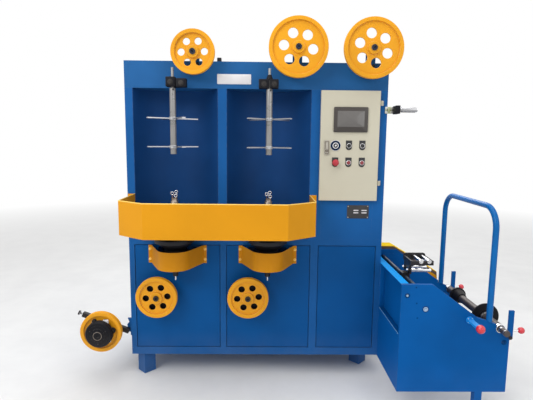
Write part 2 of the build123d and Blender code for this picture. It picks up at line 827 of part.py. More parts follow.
# Control door: folded tray on two hinges at its right edge
door_back = y0 - door_gap
door_face = door_back - door_t
pivot_x = door_right + hinge_x
pivot_y = y0 - hinge_y
knuckle = hinge_h / 3
hinge_heights = [door_low_z + rise for rise in hinge_rises]
with BuildPart() as control_door:
    box(door_x, door_right, door_face, door_back, door_low_z, door_top_z)
    box(door_x + door_skin, door_right - door_skin, door_face + door_skin, door_back,
        door_low_z + door_skin, door_top_z - door_skin, Mode.SUBTRACT)
    for height in hinge_heights:
        low = height - knuckle / 2 + knuckle_gap
        high = height + knuckle / 2 - knuckle_gap
        post(hinge_r, pivot_x, pivot_y, low, high)
        box(door_right, pivot_x, pivot_y - hinge_arm_t / 2, pivot_y + hinge_arm_t / 2, low,
            high)
        post(hinge_pin_r + run_gap, pivot_x, pivot_y, low, high, Mode.SUBTRACT)
control_door.part.label = "control_door"
export_step(control_door.part, "parts/control_door.step")

with BuildPart() as door_hinges:
    for height in hinge_heights:
        low, high = height - hinge_h / 2, height + hinge_h / 2
        box(pivot_x - hinge_arm_t / 2, pivot_x + hinge_leaf_w, y0 - hinge_leaf_t, y0, low,
            high)
        for knuckle_low, knuckle_high in ((low, height - knuckle / 2),
                                          (height + knuckle / 2, high)):
            post(hinge_r, pivot_x, pivot_y, knuckle_low, knuckle_high)
            box(pivot_x - hinge_arm_t / 2, pivot_x + hinge_arm_t / 2, pivot_y, y0,
                knuckle_low, knuckle_high)
        post(hinge_pin_r, pivot_x, pivot_y, low, high)
door_hinges.part.label = "door_hinges"
export_step(door_hinges.part, "parts/door_hinges.step")

screen_x = (door_x + door_right) / 2 + screen_off
screen_z = door_low_z + screen_rise
with BuildPart() as screen_panel:
    box(screen_x - screen_w / 2, screen_x + screen_w / 2, door_face - screen_t, door_face,
        screen_z - screen_h / 2, screen_z + screen_h / 2)
    fillet(screen_panel.edges().filter_by(Axis.Y), screen_corner)
    box(screen_x - screen_w / 2 + screen_rim, screen_x + screen_w / 2 - screen_rim,
        door_face - screen_t, door_face - screen_t + screen_sink,
        screen_z - screen_h / 2 + screen_rim, screen_z + screen_h / 2 - screen_rim,
        Mode.SUBTRACT)
screen_panel.part.label = "screen_panel"
export_step(screen_panel.part, "parts/screen_panel.step")

# Six operating buttons: a mushroom at the lower left, two turn knobs at the upper right
button_face = door_face - button_base_t
button_cols = [(door_x + door_right) / 2 + button_off + button_pitch * step
               for step in (-1, 0, 1)]
with BuildPart() as control_buttons:
    for row, rise in enumerate(button_rises):
        for col, button_x in enumerate(button_cols):
            button_z = door_low_z + rise
            lying_cylinder(button_r, button_x, button_z, button_face, door_face)
            if row == 0 and col == 0:
                stem_end = button_face - mushroom_stem_h
                lying_cylinder(mushroom_stem_r, button_x, button_z, stem_end, button_face)
                lying_cylinder(button_r, button_x, button_z, stem_end - mushroom_t, stem_end)
            elif row == 1 and col > 0:
                box(button_x - knob_bar_w / 2, button_x + knob_bar_w / 2,
                    button_face - knob_bar_t, button_face, button_z - knob_bar_h / 2,
                    button_z + knob_bar_h / 2)
            else:
                lying_cylinder(button_cap_r, button_x, button_z, button_face - button_cap_t,
                               button_face)
control_buttons.part.label = "control_buttons"
export_step(control_buttons.part, "parts/control_buttons.step")

lock_x = door_x + lock_mid
lock_z = door_low_z + lock_rise
lock_face = door_face - lock_t
with BuildPart() as door_lock:
    box(lock_x - lock_w / 2, lock_x + lock_w / 2, lock_face, door_face, lock_z - lock_h / 2,
        lock_z + lock_h / 2)
    box(lock_x - lock_grip_w / 2, lock_x + lock_grip_w / 2, lock_face - lock_grip_t,
        lock_face, lock_z + lock_grip_off - lock_grip_h / 2,
        lock_z + lock_grip_off + lock_grip_h / 2)
    lying_cylinder(lock_eye_r, lock_x, lock_z + lock_eye_off, lock_face - lock_eye_t,
                   lock_face)
door_lock.part.label = "door_lock"
export_step(door_lock.part, "parts/door_lock.step")

# Bare plate on standoffs inside the control compartment
plate_margin = door_lap + plate_inset
plate_back = y0 + bay_d - standoff
with BuildPart() as mounting_plate:
    box(door_x + plate_margin, door_right - plate_margin, plate_back - sheet_t, plate_back,
        door_low_z + plate_margin, door_top_z - plate_margin)
    for corner_x in (door_x + plate_margin + standoff_in,
                     door_right - plate_margin - standoff_in):
        for corner_z in (door_low_z + plate_margin + standoff_in,
                         door_top_z - plate_margin - standoff_in):
            lying_cylinder(standoff_r, corner_x, corner_z, plate_back, y0 + bay_d)
mounting_plate.part.label = "mounting_plate"
export_step(mounting_plate.part, "parts/mounting_plate.step")

# Guide roller on its bracket beside the cabinet
block_low = x_right + roller_out
block_high = block_low + roller_block_w
roller_low = block_high + roller_end_gap
roller_high = roller_low + roller_len
nut_low = roller_high + roller_end_gap
roller_axle_y = y0 - roller_y
roller_axle_z = z0 + roller_z
plate_z = (roller_axle_z - roller_plate_h / 2, roller_axle_z + roller_plate_h / 2)
with BuildPart() as roller_bracket:
    box(x_right - roller_plate_lap, block_low, y0 - roller_plate_t, y0, *plate_z)
    box(x_right, x_right + roller_plate_t, y0 - roller_plate_t, y0 + roller_plate_back,
        *plate_z)
    box(block_low, block_high, roller_axle_y - roller_block_front, y0,
        roller_axle_z - roller_block_h / 2, roller_axle_z + roller_block_h / 2)
    long_cylinder(roller_axle_r, roller_axle_y, roller_axle_z, block_high, nut_low)
    long_cylinder(roller_nut_r, roller_axle_y, roller_axle_z, nut_low, nut_low + roller_nut_t)
roller_bracket.part.label = "roller_bracket"
export_step(roller_bracket.part, "parts/roller_bracket.step")

with BuildPart() as guide_roller:
    long_cylinder(roller_r, roller_axle_y, roller_axle_z, roller_low, roller_high)
    long_cylinder(roller_axle_r + run_gap, roller_axle_y, roller_axle_z, roller_low,
                  roller_high, Mode.SUBTRACT)
guide_roller.part.label = "guide_roller"
export_step(guide_roller.part, "parts/guide_roller.step")

# Take-up stand: wall beside the cabinet and two profiled panels
near_face = y0 - stand_front
near_back = near_face + stand_wall_t
far_face = near_face + stand_pitch
far_back = far_face + stand_wall_t
wall_face = x_right + wall_base_t
with BuildPart() as stand_left_wall:
    box(x_right, wall_face, near_back, far_face, z0, z0 + wall_base_h)
    box(wall_face - wall_sheet_t, wall_face, near_back, far_face, z0 + wall_base_h,
        z0 + stand_h)
    box(x_right, wall_face, near_back, far_face, z0 + stand_h - wall_lip_t, z0 + stand_h)
stand_left_wall.part.label = "stand_left_wall"
export_step(stand_left_wall.part, "parts/stand_left_wall.step")

panel_outline = [(0, 0), (stand_w, 0), (stand_w, stand_end_h),
                 (stand_w - stand_end_run, stand_low_h), (stand_slope_end, stand_mid_h),
                 (stand_flat, stand_h), (0, stand_h)]
shaft_x = x_right + shaft_u
shaft_z = z0 + shaft_h
for name, face in (("stand_near_panel", near_face), ("stand_far_panel", far_face)):
    with BuildPart() as stand_panel:
        with BuildSketch(Plane(origin=(x_right, face, z0), x_dir=(1, 0, 0),
                               z_dir=(0, -1, 0))):
            with BuildLine():
                Polyline(*panel_outline, close=True)
            make_face()
        extrude(amount=-stand_wall_t)
        lying_cylinder(seat_r, shaft_x, shaft_z, face, face + stand_wall_t, Mode.SUBTRACT)
        box(shaft_x - seat_r, shaft_x + seat_r, face, face + stand_wall_t, shaft_z,
            shaft_z + seat_r * 2, Mode.SUBTRACT)
    stand_panel.part.label = name
    export_step(stand_panel.part, f"parts/{name}.step")

# Feet of the stand: one square tube with a sole under the outer end of each panel
stand_foot_x = x_right + stand_foot_u
outer = stand_foot_side / 2
inner = outer - stand_foot_wall
with BuildPart() as stand_feet:
    for foot_y in (near_face + outer, far_back - outer):
        box(stand_foot_x - outer, stand_foot_x + outer, foot_y - outer, foot_y + outer, 0, z0)
        box(stand_foot_x - inner, stand_foot_x + inner, foot_y - inner, foot_y + inner,
            sole_t, z0, Mode.SUBTRACT)
stand_feet.part.label = "stand_feet"
export_step(stand_feet.part, "parts/stand_feet.step")

# Bearings in the two notches
with BuildPart() as shaft_bearings:
    for face in (near_face, far_face):
        lying_cylinder(seat_r, shaft_x, shaft_z, face, face + stand_wall_t)
    lying_cylinder(journal_r + run_gap, shaft_x, shaft_z, near_face, far_back,
                   Mode.SUBTRACT)
shaft_bearings.part.label = "shaft_bearings"
export_step(shaft_bearings.part, "parts/shaft_bearings.step")

# Reel shaft with its two cones
near_cone_y = near_back + near_cone_in
far_cone_y = far_face - far_cone_in
with BuildPart() as reel_shaft:
    lying_cylinder(journal_r, shaft_x, shaft_z, near_face - journal_near,
                   far_back + journal_far)
    lying_cylinder(shaft_r, shaft_x, shaft_z, near_back + clear, far_face - clear)
reel_shaft.part.label = "reel_shaft"
export_step(reel_shaft.part, "parts/reel_shaft.step")

with BuildPart() as reel_cones:
    for rim_y, tip_y, rim_r in ((near_cone_y, near_cone_y + cone_len, near_cone_r),
                                (far_cone_y, far_cone_y - cone_len, far_cone_r)):
        with BuildSketch(Plane.XY.offset(shaft_z)):
            with BuildLine():
                Polyline((shaft_x + shaft_r, rim_y), (shaft_x + rim_r, rim_y),
                         (shaft_x + shaft_r + cone_tip, tip_y), (shaft_x + shaft_r, tip_y),
                         close=True)
            make_face()
        revolve(axis=Axis((shaft_x, rim_y, shaft_z), (0, 1, 0)))
    lying_cylinder(cone_flange_r, shaft_x, shaft_z, far_cone_y, far_cone_y + cone_flange_t)
    lying_cylinder(shaft_r, shaft_x, shaft_z, near_back, far_face, Mode.SUBTRACT)
reel_cones.part.label = "reel_cones"
export_step(reel_cones.part, "parts/reel_cones.step")

# Latches beside the shaft ends: pivot pin in the panel, swinging bar and ball knob
latch_x = x_right + latch_u
latch_z = z0 + latch_h
spacer_t = latch_stand_off - axle_gap
pin_end = latch_stand_off + latch_t + axle_gap
with BuildPart() as latch_pins:
    for face, out in ((near_face, -1), (far_back, 1)):
        for radius, start, end in ((latch_w / 2, 0, spacer_t),
                                   (latch_pin_r, spacer_t, pin_end),
                                   (latch_cap_r, pin_end, pin_end + latch_cap_t)):
            lying_cylinder(radius, latch_x, latch_z,
                           *sorted((face + out * start, face + out * end)))
latch_pins.part.label = "latch_pins"
export_step(latch_pins.part, "parts/latch_pins.step")

stem_end = latch_x + knob_reach - knob_r + stem_grip
for name, face, out in (("near", near_face, -1), ("far", far_back, 1)):
    low_y, high_y = sorted((face + out * latch_stand_off,
                            face + out * (latch_stand_off + latch_t)))
    middle_y = (low_y + high_y) / 2
    with BuildPart() as latch:
        box(latch_x - latch_w / 2, latch_x + latch_w / 2, low_y, high_y, latch_z,
            latch_z + latch_len)
        lying_cylinder(latch_w / 2, latch_x, latch_z, low_y, high_y)
        lying_cylinder(latch_pin_r + run_gap, latch_x, latch_z, low_y, high_y,
                       Mode.SUBTRACT)
        long_cylinder(stem_r, middle_y, latch_z + knob_rise, latch_x, stem_end)
    latch.part.label = f"{name}_latch"
    export_step(latch.part, f"parts/{name}_latch.step")
    with BuildPart() as latch_knob:
        with Locations((latch_x + knob_reach, middle_y, latch_z + knob_rise)):
            Sphere(knob_r)
        long_cylinder(stem_r, middle_y, latch_z + knob_rise, latch_x, stem_end,
                      Mode.SUBTRACT)
    latch_knob.part.label = f"{name}_latch_knob"
    export_step(latch_knob.part, f"parts/{name}_latch_knob.step")

# Locking lever on the near panel
peg_x = x_right + peg_u
peg_z = z0 + peg_h
peg_end = near_face - peg_len
with BuildPart() as lock_lever:
    box(peg_x - peg_w / 2, peg_x + peg_w / 2, peg_end, near_face, peg_z - peg_t / 2,
        peg_z + peg_t / 2)
    lying_cylinder(stem_r, peg_x, peg_z, peg_end - peg_tip, peg_end)
    lying_cylinder(peg_foot_r, peg_x, peg_z, near_face - peg_foot_t, near_face)
lock_lever.part.label = "lock_lever"
export_step(lock_lever.part, "parts/lock_lever.step")

with BuildPart() as lever_knob:
    with Locations((peg_x, peg_end - peg_ball_r, peg_z)):
        Sphere(peg_ball_r)
    box(peg_x - peg_w / 2, peg_x + peg_w / 2, peg_end, near_face, peg_z - peg_t / 2,
        peg_z + peg_t / 2, Mode.SUBTRACT)
    lying_cylinder(stem_r, peg_x, peg_z, peg_end - peg_tip, near_face, Mode.SUBTRACT)
lever_knob.part.label = "lever_knob"
export_step(lever_knob.part, "parts/lever_knob.step")

# Hoop over the reel space: its legs are cut to the panels' slope and stand on their edges
hoop_x = x_right + hoop_u
hoop_near = near_face + stand_wall_t / 2
hoop_far = far_face + stand_wall_t / 2
hoop_low = z0 + stand_low_h - hoop_cut
hoop_z = z0 + hoop_top
with BuildPart() as hoop:
    with BuildLine(Plane.YZ.offset(hoop_x)):
        FilletPolyline((hoop_near, hoop_low), (hoop_near, hoop_z), (hoop_far, hoop_z),
                       (hoop_far, hoop_low), radius=hoop_bend)
    with BuildSketch(Plane(origin=(hoop_x, hoop_near, hoop_low), z_dir=(0, 0, 1))):
        Circle(hoop_r)
    sweep()
    for leg_y in (hoop_near, hoop_far):
        with BuildSketch(Plane(origin=(x_right, leg_y - hoop_r, z0), x_dir=(1, 0, 0),
                               z_dir=(0, -1, 0))):
            with BuildLine():
                Polyline(*panel_outline, close=True)
            make_face()
        extrude(amount=-2 * hoop_r, mode=Mode.SUBTRACT)
hoop.part.label = "hoop"
export_step(hoop.part, "parts/hoop.step")

# Cover over the drive chain behind the far panel
chain_outline = [(chain_in, chain_top), (chain_flat, chain_top), (chain_end, chain_end_top),
                 (chain_end + chain_nose, chain_end_low),
                 (chain_end - chain_tail, chain_end_low), (chain_low_u, chain_low),
                 (chain_in, chain_low)]
with BuildPart() as chain_guard:
    with BuildSketch(Plane(origin=(x_right, far_back, z0), x_dir=(1, 0, 0),
                           z_dir=(0, -1, 0))):
        with BuildLine():
            Polyline(*chain_outline, close=True)
        make_face()
    extrude(amount=-chain_t)
chain_guard.part.label = "chain_guard"
export_step(chain_guard.part, "parts/chain_guard.step")

# Traverse rods and the cable guide that slides on them
rod_x = x_right + screw_u
with BuildPart() as traverse_rods:
    for height in (screw_h, guide_h):
        lying_cylinder(screw_r, rod_x, z0 + height, near_back, far_face)
traverse_rods.part.label = "traverse_rods"
export_step(traverse_rods.part, "parts/traverse_rods.step")

# Carriage: block on both rods, upright plate, and an open frame round the upper rollers
fair_y = y0 - carriage_y
upright_x = rod_x + block_half
back_x = upright_x - upright_t
block_low_z = z0 + guide_h - block_under
frame_low = z0 + fair_x_h + frame_rise
roller_spread = fair_r + fair_gap / 2
roller_xs = (x_right + fair_u - roller_spread, x_right + fair_u + roller_spread)
frame_end = roller_xs[1] + fair_r + clear + cheek_t
near_y = fair_y - frame_half
far_y = fair_y + frame_half
cross_ys = (fair_y - fair_gap - fair_r, fair_y + fair_gap + fair_r)
with BuildPart() as carriage:
    box(rod_x - block_half, upright_x, fair_y - block_d / 2, fair_y + block_d / 2,
        block_low_z, z0 + screw_h + block_over)
    box(back_x, upright_x, fair_y - block_d / 2, fair_y + block_d / 2, block_low_z, frame_low)
    box(back_x, upright_x, fair_y - upright_half, fair_y + upright_half,
        z0 + fair_x_h - upright_under, frame_low)
    for end_x in (back_x, frame_end - cheek_t):
        box(end_x, end_x + cheek_t, near_y, far_y, frame_low, frame_low + near_cheek_h)
    box(back_x, frame_end, near_y, near_y + cheek_t, frame_low, frame_low + near_cheek_h)
    with BuildSketch(Plane(origin=(back_x, far_y - cheek_t, frame_low), x_dir=(1, 0, 0),
                           z_dir=(0, -1, 0))) as far_cheek:
        with Locations(((frame_end - back_x) / 2, far_cheek_h / 2)):
            Rectangle(frame_end - back_x, far_cheek_h)
        fillet(far_cheek.vertices().group_by(Axis.Y)[-1], cheek_round)
    extrude(amount=-cheek_t)
    for side_y in cross_ys:
        long_cylinder(fair_bolt_r, side_y, z0 + fair_x_h, back_x - fair_bolt_t, back_x)
    for height in (screw_h, guide_h):
        lying_cylinder(screw_r + run_gap, rod_x, z0 + height, fair_y - block_d,
                       fair_y + block_d, Mode.SUBTRACT)
carriage.part.label = "carriage"
export_step(carriage.part, "parts/carriage.step")

with BuildPart() as carriage_rollers:
    for roller_x in roller_xs:
        lying_cylinder(fair_r, roller_x, z0 + fair_x_h + fair_step, near_y + cheek_t,
                       far_y - cheek_t)
    for side_y in cross_ys:
        long_cylinder(fair_r, side_y, z0 + fair_x_h, upright_x, frame_end)
carriage_rollers.part.label = "carriage_rollers"
export_step(carriage_rollers.part, "parts/carriage_rollers.step")
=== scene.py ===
# %% [markdown]
# # A vertical cable taping machine
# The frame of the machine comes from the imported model: every sheet, pulley, rod and bracket is
# already there in metres. This lesson dresses it. It gives the sheet metal its paint, rebuilds the
# turned and cast pieces as smooth surfaces, and adds the small things a fitter would add last:
# bolts, screws, buttons, plates and a thread.

# %% Load the frame
import math
from functools import partial

import bpy
import numpy as np
from mathutils import Matrix, Vector


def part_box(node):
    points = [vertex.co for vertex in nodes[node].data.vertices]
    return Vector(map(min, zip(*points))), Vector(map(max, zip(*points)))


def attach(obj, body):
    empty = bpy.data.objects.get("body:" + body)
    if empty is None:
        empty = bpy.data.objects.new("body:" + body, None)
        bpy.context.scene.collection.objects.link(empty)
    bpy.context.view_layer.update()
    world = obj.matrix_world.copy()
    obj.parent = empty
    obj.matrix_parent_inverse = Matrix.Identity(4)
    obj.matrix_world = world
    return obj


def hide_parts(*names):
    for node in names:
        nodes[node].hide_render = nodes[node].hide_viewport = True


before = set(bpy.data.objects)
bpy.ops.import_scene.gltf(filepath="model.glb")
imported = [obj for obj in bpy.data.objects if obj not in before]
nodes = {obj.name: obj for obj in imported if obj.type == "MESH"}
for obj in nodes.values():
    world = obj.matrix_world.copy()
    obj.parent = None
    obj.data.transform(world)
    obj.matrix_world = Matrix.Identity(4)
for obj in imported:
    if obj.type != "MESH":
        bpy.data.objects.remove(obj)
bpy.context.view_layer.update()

# %% [markdown]
# ## Where things are
# A dressed piece must sit exactly where the frame says. So nothing is typed in twice: the middle
# and the size of a piece are asked from the box of its node. What the frame doesn't hold is placed
# in millimetres from the cabinet, so that a fitter could measure it.

# %% Ask the frame for places and sizes
RIGHT, BACK, UP = (1, 0, 0), (0, 1, 0), (0, 0, 1)
LEFT, FRONT = (-1, 0, 0), (0, -1, 0)


def low_high(node):
    """The lowest and the highest corner of a node, as two arrays."""
    return [np.array(corner, float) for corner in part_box(node)]


def middle(node):
    """The middle of a node's box."""
    return sum(low_high(node)) / 2


def extent(node):
    """The three side lengths of a node's box."""
    low, high = low_high(node)
    return high - low


base_low, base_high = low_high("cabinet_base")
ORIGIN = np.array(((base_low[0] + base_high[0]) / 2, base_low[1], base_low[2]))


def at(x, y, z):
    """A place given in millimetres from the cabinet: right of its middle, behind its face, up."""
    return ORIGIN + np.array((x, y, z)) / 1000.0


print("cabinet face at y", round(float(ORIGIN[1]), 4))

# %% [markdown]
# ## The camera
# The photograph was taken standing, a little above the middle of the cabinet, looking slightly
# down. A phone lens of this kind sees about 62 degrees. Place, aim and the small roll were fitted
# to the corners of the cabinet, and are written here as plain numbers.

# %% Camera at the photograph's place
EYE = Vector(at(30.0, -2706.0, 1349.0))
YAW, PITCH, ROLL = math.radians(-0.7243), math.radians(7.452), math.radians(0.5785)
SENSOR_MM, FOCAL_PX, PHOTO_PX = 36.0, 447.0, 533.0
ahead = Vector((-math.sin(YAW) * math.cos(PITCH), math.cos(YAW) * math.cos(PITCH),
                -math.sin(PITCH)))
level = Vector((math.cos(YAW), math.sin(YAW), 0.0))
upright = level.cross(ahead)
sideways = math.cos(ROLL) * level + math.sin(ROLL) * upright
upward = -math.sin(ROLL) * level + math.cos(ROLL) * upright
lens = bpy.data.cameras.new("photo_camera")
lens.sensor_width = SENSOR_MM
lens.lens = FOCAL_PX / PHOTO_PX * SENSOR_MM
lens.clip_end = 200.0
camera = bpy.data.objects.new("photo_camera", lens)
turn = Matrix((sideways, upward, -ahead)).transposed().to_4x4()
camera.matrix_world = Matrix.Translation(EYE) @ turn
bpy.context.scene.collection.objects.link(camera)
bpy.context.scene.camera = camera
bpy.context.scene.view_settings.view_transform = "Standard"
print("camera at", tuple(round(v, 3) for v in EYE))

# %% [markdown]
# ## Surfaces from numbers
# Nearly every new piece here is a grid of points: one direction runs round, the other runs along
# a profile. Working out the whole grid at once with arrays keeps the code short and exact, and the
# same few helpers make pulleys, balls, bolts and tubes.

# %% Grids and pieces


def grid_faces(rows, columns, wrap_rows=False, wrap_columns=True):
    """Quads between neighbouring points of a grid whose point (i, j) has number i * columns + j.

    Either direction may close on itself, by counting with the remainder.
    """
    i = np.arange(rows if wrap_rows else rows - 1)[:, None]
    j = np.arange(columns if wrap_columns else columns - 1)[None, :]
    next_i, next_j = (i + 1) % rows, (j + 1) % columns
    quads = np.stack([i * columns + j, i * columns + next_j, next_i * columns + next_j,
                      next_i * columns + j], axis=-1)
    return quads.reshape(-1, 4)


def closed_up(points, faces):
    """One shell made tidy: points that coincide become one, and its faces look outwards.

    The volume is the sum of the tetrahedra between the shell's middle and its faces. If that sum
    is negative, the shell is inside out, and each face's order is reversed.
    """
    flat = points.reshape(-1, 3)
    _, first, number = np.unique(np.round(flat * 1e6).astype(np.int64), axis=0,
                                 return_index=True, return_inverse=True)
    flat, faces = flat[first], number.ravel()[faces]
    a, b, c, d = (flat[faces[:, k]] - flat.mean(axis=0) for k in range(4))
    volume = (a * np.cross(b, c)).sum() + (a * np.cross(c, d)).sum()
    return flat, faces if volume > 0 else faces[:, ::-1]


finishes = {}


def add_piece(name, shells, paint, body="machine", sharp=32.0):
    """Puts shells of points and quads into one mesh that rides on a body.

    Its paint is the name of one of the finishes, which are made further down. A quad with two
    equal corners is written as a triangle. Edges that turn more than the sharp angle, in
    degrees, stay crisp, and all others are smooth.
    """
    shells = [closed_up(points, faces) for points, faces in shells]
    offsets = np.cumsum([0] + [len(points) for points, _ in shells[:-1]])
    flat = np.concatenate([points for points, _ in shells]).astype(np.float32)
    quads = np.concatenate([faces + start for (_, faces), start in zip(shells, offsets)])
    keep = quads != np.roll(quads, -1, axis=1)
    whole = keep.sum(axis=1) >= 3
    quads, keep = quads[whole], keep[whole]
    sizes = keep.sum(axis=1).astype(np.int32)
    loops = quads[keep].astype(np.int32)
    mesh = bpy.data.meshes.new(name)
    mesh.vertices.add(len(flat))
    mesh.vertices.foreach_set("co", flat.ravel())
    mesh.loops.add(len(loops))
    mesh.loops.foreach_set("vertex_index", loops)
    mesh.polygons.add(len(sizes))
    mesh.polygons.foreach_set("loop_start", np.concatenate([[0], np.cumsum(sizes)[:-1]])
                              .astype(np.int32))
    mesh.polygons.foreach_set("use_smooth", np.ones(len(sizes), dtype=bool))
    mesh.update(calc_edges=True)
    mesh.validate()
    mesh.set_sharp_from_angle(angle=math.radians(sharp))
    mesh.materials.append(finishes[paint])
    piece = bpy.data.objects.new(name, mesh)
    bpy.context.scene.collection.objects.link(piece)
    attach(piece, body)
    return piece


print("faces of a 4 by 8 grid:", len(grid_faces(4, 8)))

# %% Turned shells


def frame_of(axis):
    """Two directions square to an axis, so that (first, second, axis) is right-handed."""
    axis = np.array(axis, float)
    helper = np.array((0, 0, 1.0)) if abs(axis[2]) < 0.9 else np.array((1.0, 0, 0))
    first = np.cross(helper, axis)
    first /= np.linalg.norm(first)
    return first, np.cross(axis, first)


def turned_points(profile, centre, axis, segments):
    """A profile of (radius, height) turned about an axis through a centre.

    Point (i, j) = centre + height_i * axis + radius_i * (cos t_j * first + sin t_j * second).
    """
    first, second = frame_of(axis)
    t = np.linspace(0, 2 * np.pi, segments, endpoint=False)
    spoke = np.cos(t)[:, None] * first + np.sin(t)[:, None] * second
    radius, height = np.array(profile, float).T
    return (np.array(centre, float) + height[:, None, None] * np.array(axis, float)
            + radius[:, None, None] * spoke)


def round_corners(corners, radius, steps=4, closed=False):
    """Replaces each corner of a flat path by a small arc.

    A corner's arc starts and ends at the same distance from it along its two sides, and its
    points are a quadratic blend: (1-s)^2 * start + 2s(1-s) * corner + s^2 * end.
    """
    corners = np.array(corners, float)
    s = np.linspace(0, 1, steps + 1)[:, None]
    path = []
    for k, here in enumerate(corners):
        if not closed and k in (0, len(corners) - 1):
            path.append(here[None])
            continue
        into, out = corners[k - 1] - here, corners[(k + 1) % len(corners)] - here
        reach = min(radius, np.linalg.norm(into) * 0.45, np.linalg.norm(out) * 0.45)
        start = here + into / np.linalg.norm(into) * reach
        end = here + out / np.linalg.norm(out) * reach
        path.append((1 - s) ** 2 * start + 2 * s * (1 - s) * here + s ** 2 * end)
    return np.concatenate(path)


def turned(profile, centre, axis, segments, bend=0.0, closed=False):
    """The shell of a turned piece: a profile, rounded at its corners by bend, carried round."""
    if bend:
        profile = round_corners(profile, bend, closed=closed)
    points = turned_points(profile, centre, axis, segments)
    return points, grid_faces(len(profile), segments, wrap_rows=closed)


hollow = partial(turned, closed=True)


def band(inner, outer, low, high):
    """The profile of a plain ring or disc: a rectangle between two radii and two heights."""
    return [(inner, low), (outer, low), (outer, high), (inner, high)]


ring_points, ring_faces = hollow(band(1, 2, 0, 1), (0, 0, 0), UP, 24)
print("a plain ring has", ring_points.shape, "points and", len(ring_faces), "faces")

# %% Plates and stacks


def stacked(outlines):
    """A shell from outlines of equal length, one above another, closed at both ends.

    outlines is (rows, columns, 3). The first and last row are drawn together at their middles.
    """
    outlines = np.asarray(outlines, float)
    ends = [outlines[k].mean(axis=0)[None].repeat(outlines.shape[1], axis=0) for k in (0, -1)]
    rows = np.concatenate([ends[0][None], outlines, ends[1][None]])
    return rows, grid_faces(rows.shape[0], rows.shape[1])


def round_rectangle(width, height, corner, steps=6):
    """The outline of a rectangle with round corners, as points (x, y) about its middle."""
    t = np.concatenate([np.linspace(0, 90, steps) + 90 * k for k in range(4)]) * np.pi / 180
    side = np.array([(1, 1), (-1, 1), (-1, -1), (1, -1)], float).repeat(steps, axis=0)
    inner = np.array([width / 2 - corner, height / 2 - corner])
    return side * inner + corner * np.stack([np.cos(t), np.sin(t)], axis=1)


def plate(centre, width, height, thick, corner, bevel, across=RIGHT, upward=UP):
    """A flat plate with round corners and a bevelled front edge.

    It stands on its back face at centre. Its rows are the outline at the back, at the foot of the
    bevel, and drawn in by the bevel at the front.
    """
    across, upward = np.array(across, float), np.array(upward, float)
    out = np.cross(across, upward)
    rows = []
    for inset, rise in ((0, 0), (0, thick - bevel), (bevel * 0.3, thick - bevel * 0.3),
                        (bevel, thick)):
        flat = round_rectangle(width - 2 * inset, height - 2 * inset,
                               max(corner - inset, 0.0002))
        rows.append(np.array(centre, float) + flat[:, :1] * across + flat[:, 1:] * upward
                    + rise * out)
    return stacked(rows)


print("points round a plate:", len(round_rectangle(2.0, 1.0, 0.1)))

# %% Bolts and domed heads
rng = np.random.default_rng(7)
BOLT_COLUMNS = 24


def bolts(spots, flats, height, axis=FRONT, washer=True):
    """Hexagon bolt heads on their washers, one at each spot, facing along the axis.

    A hexagon's radius at angle t is (flats / 2) / cos(t') with t' the angle from its nearest flat.
    The top row is a circle, so the corners are chamfered. Each head has its own turn.
    """
    first, second = frame_of(axis)
    axis = np.array(axis, float)
    t = np.linspace(0, 2 * np.pi, BOLT_COLUMNS, endpoint=False)
    hexagon = flats / 2 / np.cos((t + np.pi / 6) % (np.pi / 3) - np.pi / 6)
    circle = np.full(BOLT_COLUMNS, flats / 2)
    base = flats * 0.12 if washer else 0.0
    rows = [(hexagon * 0.99, base), (hexagon, base + 0.0002), (hexagon, base + height * 0.8),
            (circle * 0.96, base + height), (circle * 0.5, base + height * 0.97)]
    shells = []
    for spot in spots:
        turn = rng.uniform(0, np.pi)
        spoke = np.cos(t + turn)[:, None] * first + np.sin(t + turn)[:, None] * second
        shells.append(stacked([np.array(spot, float) + radius[:, None] * spoke + rise * axis
                               for radius, rise in rows]))
        if washer:
            shells.append(turned(band(0, flats * 0.92, 0, base), spot, axis, BOLT_COLUMNS, 0.0004))
    return shells


def caps(spots, radius, height, axis=FRONT):
    """Low domed screw or rivet heads: an arc from the rim up to the middle."""
    s = np.linspace(0, np.pi / 2, 5)
    dome = [(0.0, 0.0)] + [(radius * math.cos(a), height * math.sin(a)) for a in s]
    return [turned(dome, spot, axis, 24) for spot in spots]


print("columns round a bolt:", BOLT_COLUMNS)

# %% [markdown]
# ## Effects that several finishes share
# Paint, steel and cast iron all get dusty near the floor, rub bright at their edges and are a
# little uneven; on the yellow paints the bright edges are a painted highlight. Each such effect is
# one node group with named inputs, built once. It only puts out a mask, a value or a height, and
# each material decides what to do with it.

# %% A small way to build nodes


def wired(tree, kind, inputs, output=0, **settings):
    """A new node with its settings, and its inputs from sockets or values.

    It returns the socket of one output.
    """
    node = tree.nodes.new("ShaderNode" + kind)
    for label, value in settings.items():
        setattr(node, label, value)
    for label, value in inputs.items():
        if isinstance(value, bpy.types.NodeSocket):
            tree.links.new(value, node.inputs[label])
        else:
            node.inputs[label].default_value = value
    return node.outputs[output]


def math_node(tree, operation, first, second, clamp=False):
    """The result of a Math node on sockets or numbers."""
    return wired(tree, "Math", {0: first, 1: second}, operation=operation, use_clamp=clamp)


def remap(tree, value, low, high, to_low=0.0, to_high=1.0):
    """A Map Range node: low..high becomes to_low..to_high, and stays inside it."""
    return wired(tree, "MapRange", {"Value": value, "From Min": low, "From Max": high,
                                    "To Min": to_low, "To Max": to_high}, "Result")


def noise(tree, vector, scale, detail, roughness):
    """The factor of a Noise Texture on a vector."""
    return wired(tree, "TexNoise", {"Vector": vector, "Scale": scale, "Detail": detail,
                                    "Roughness": roughness}, "Fac")


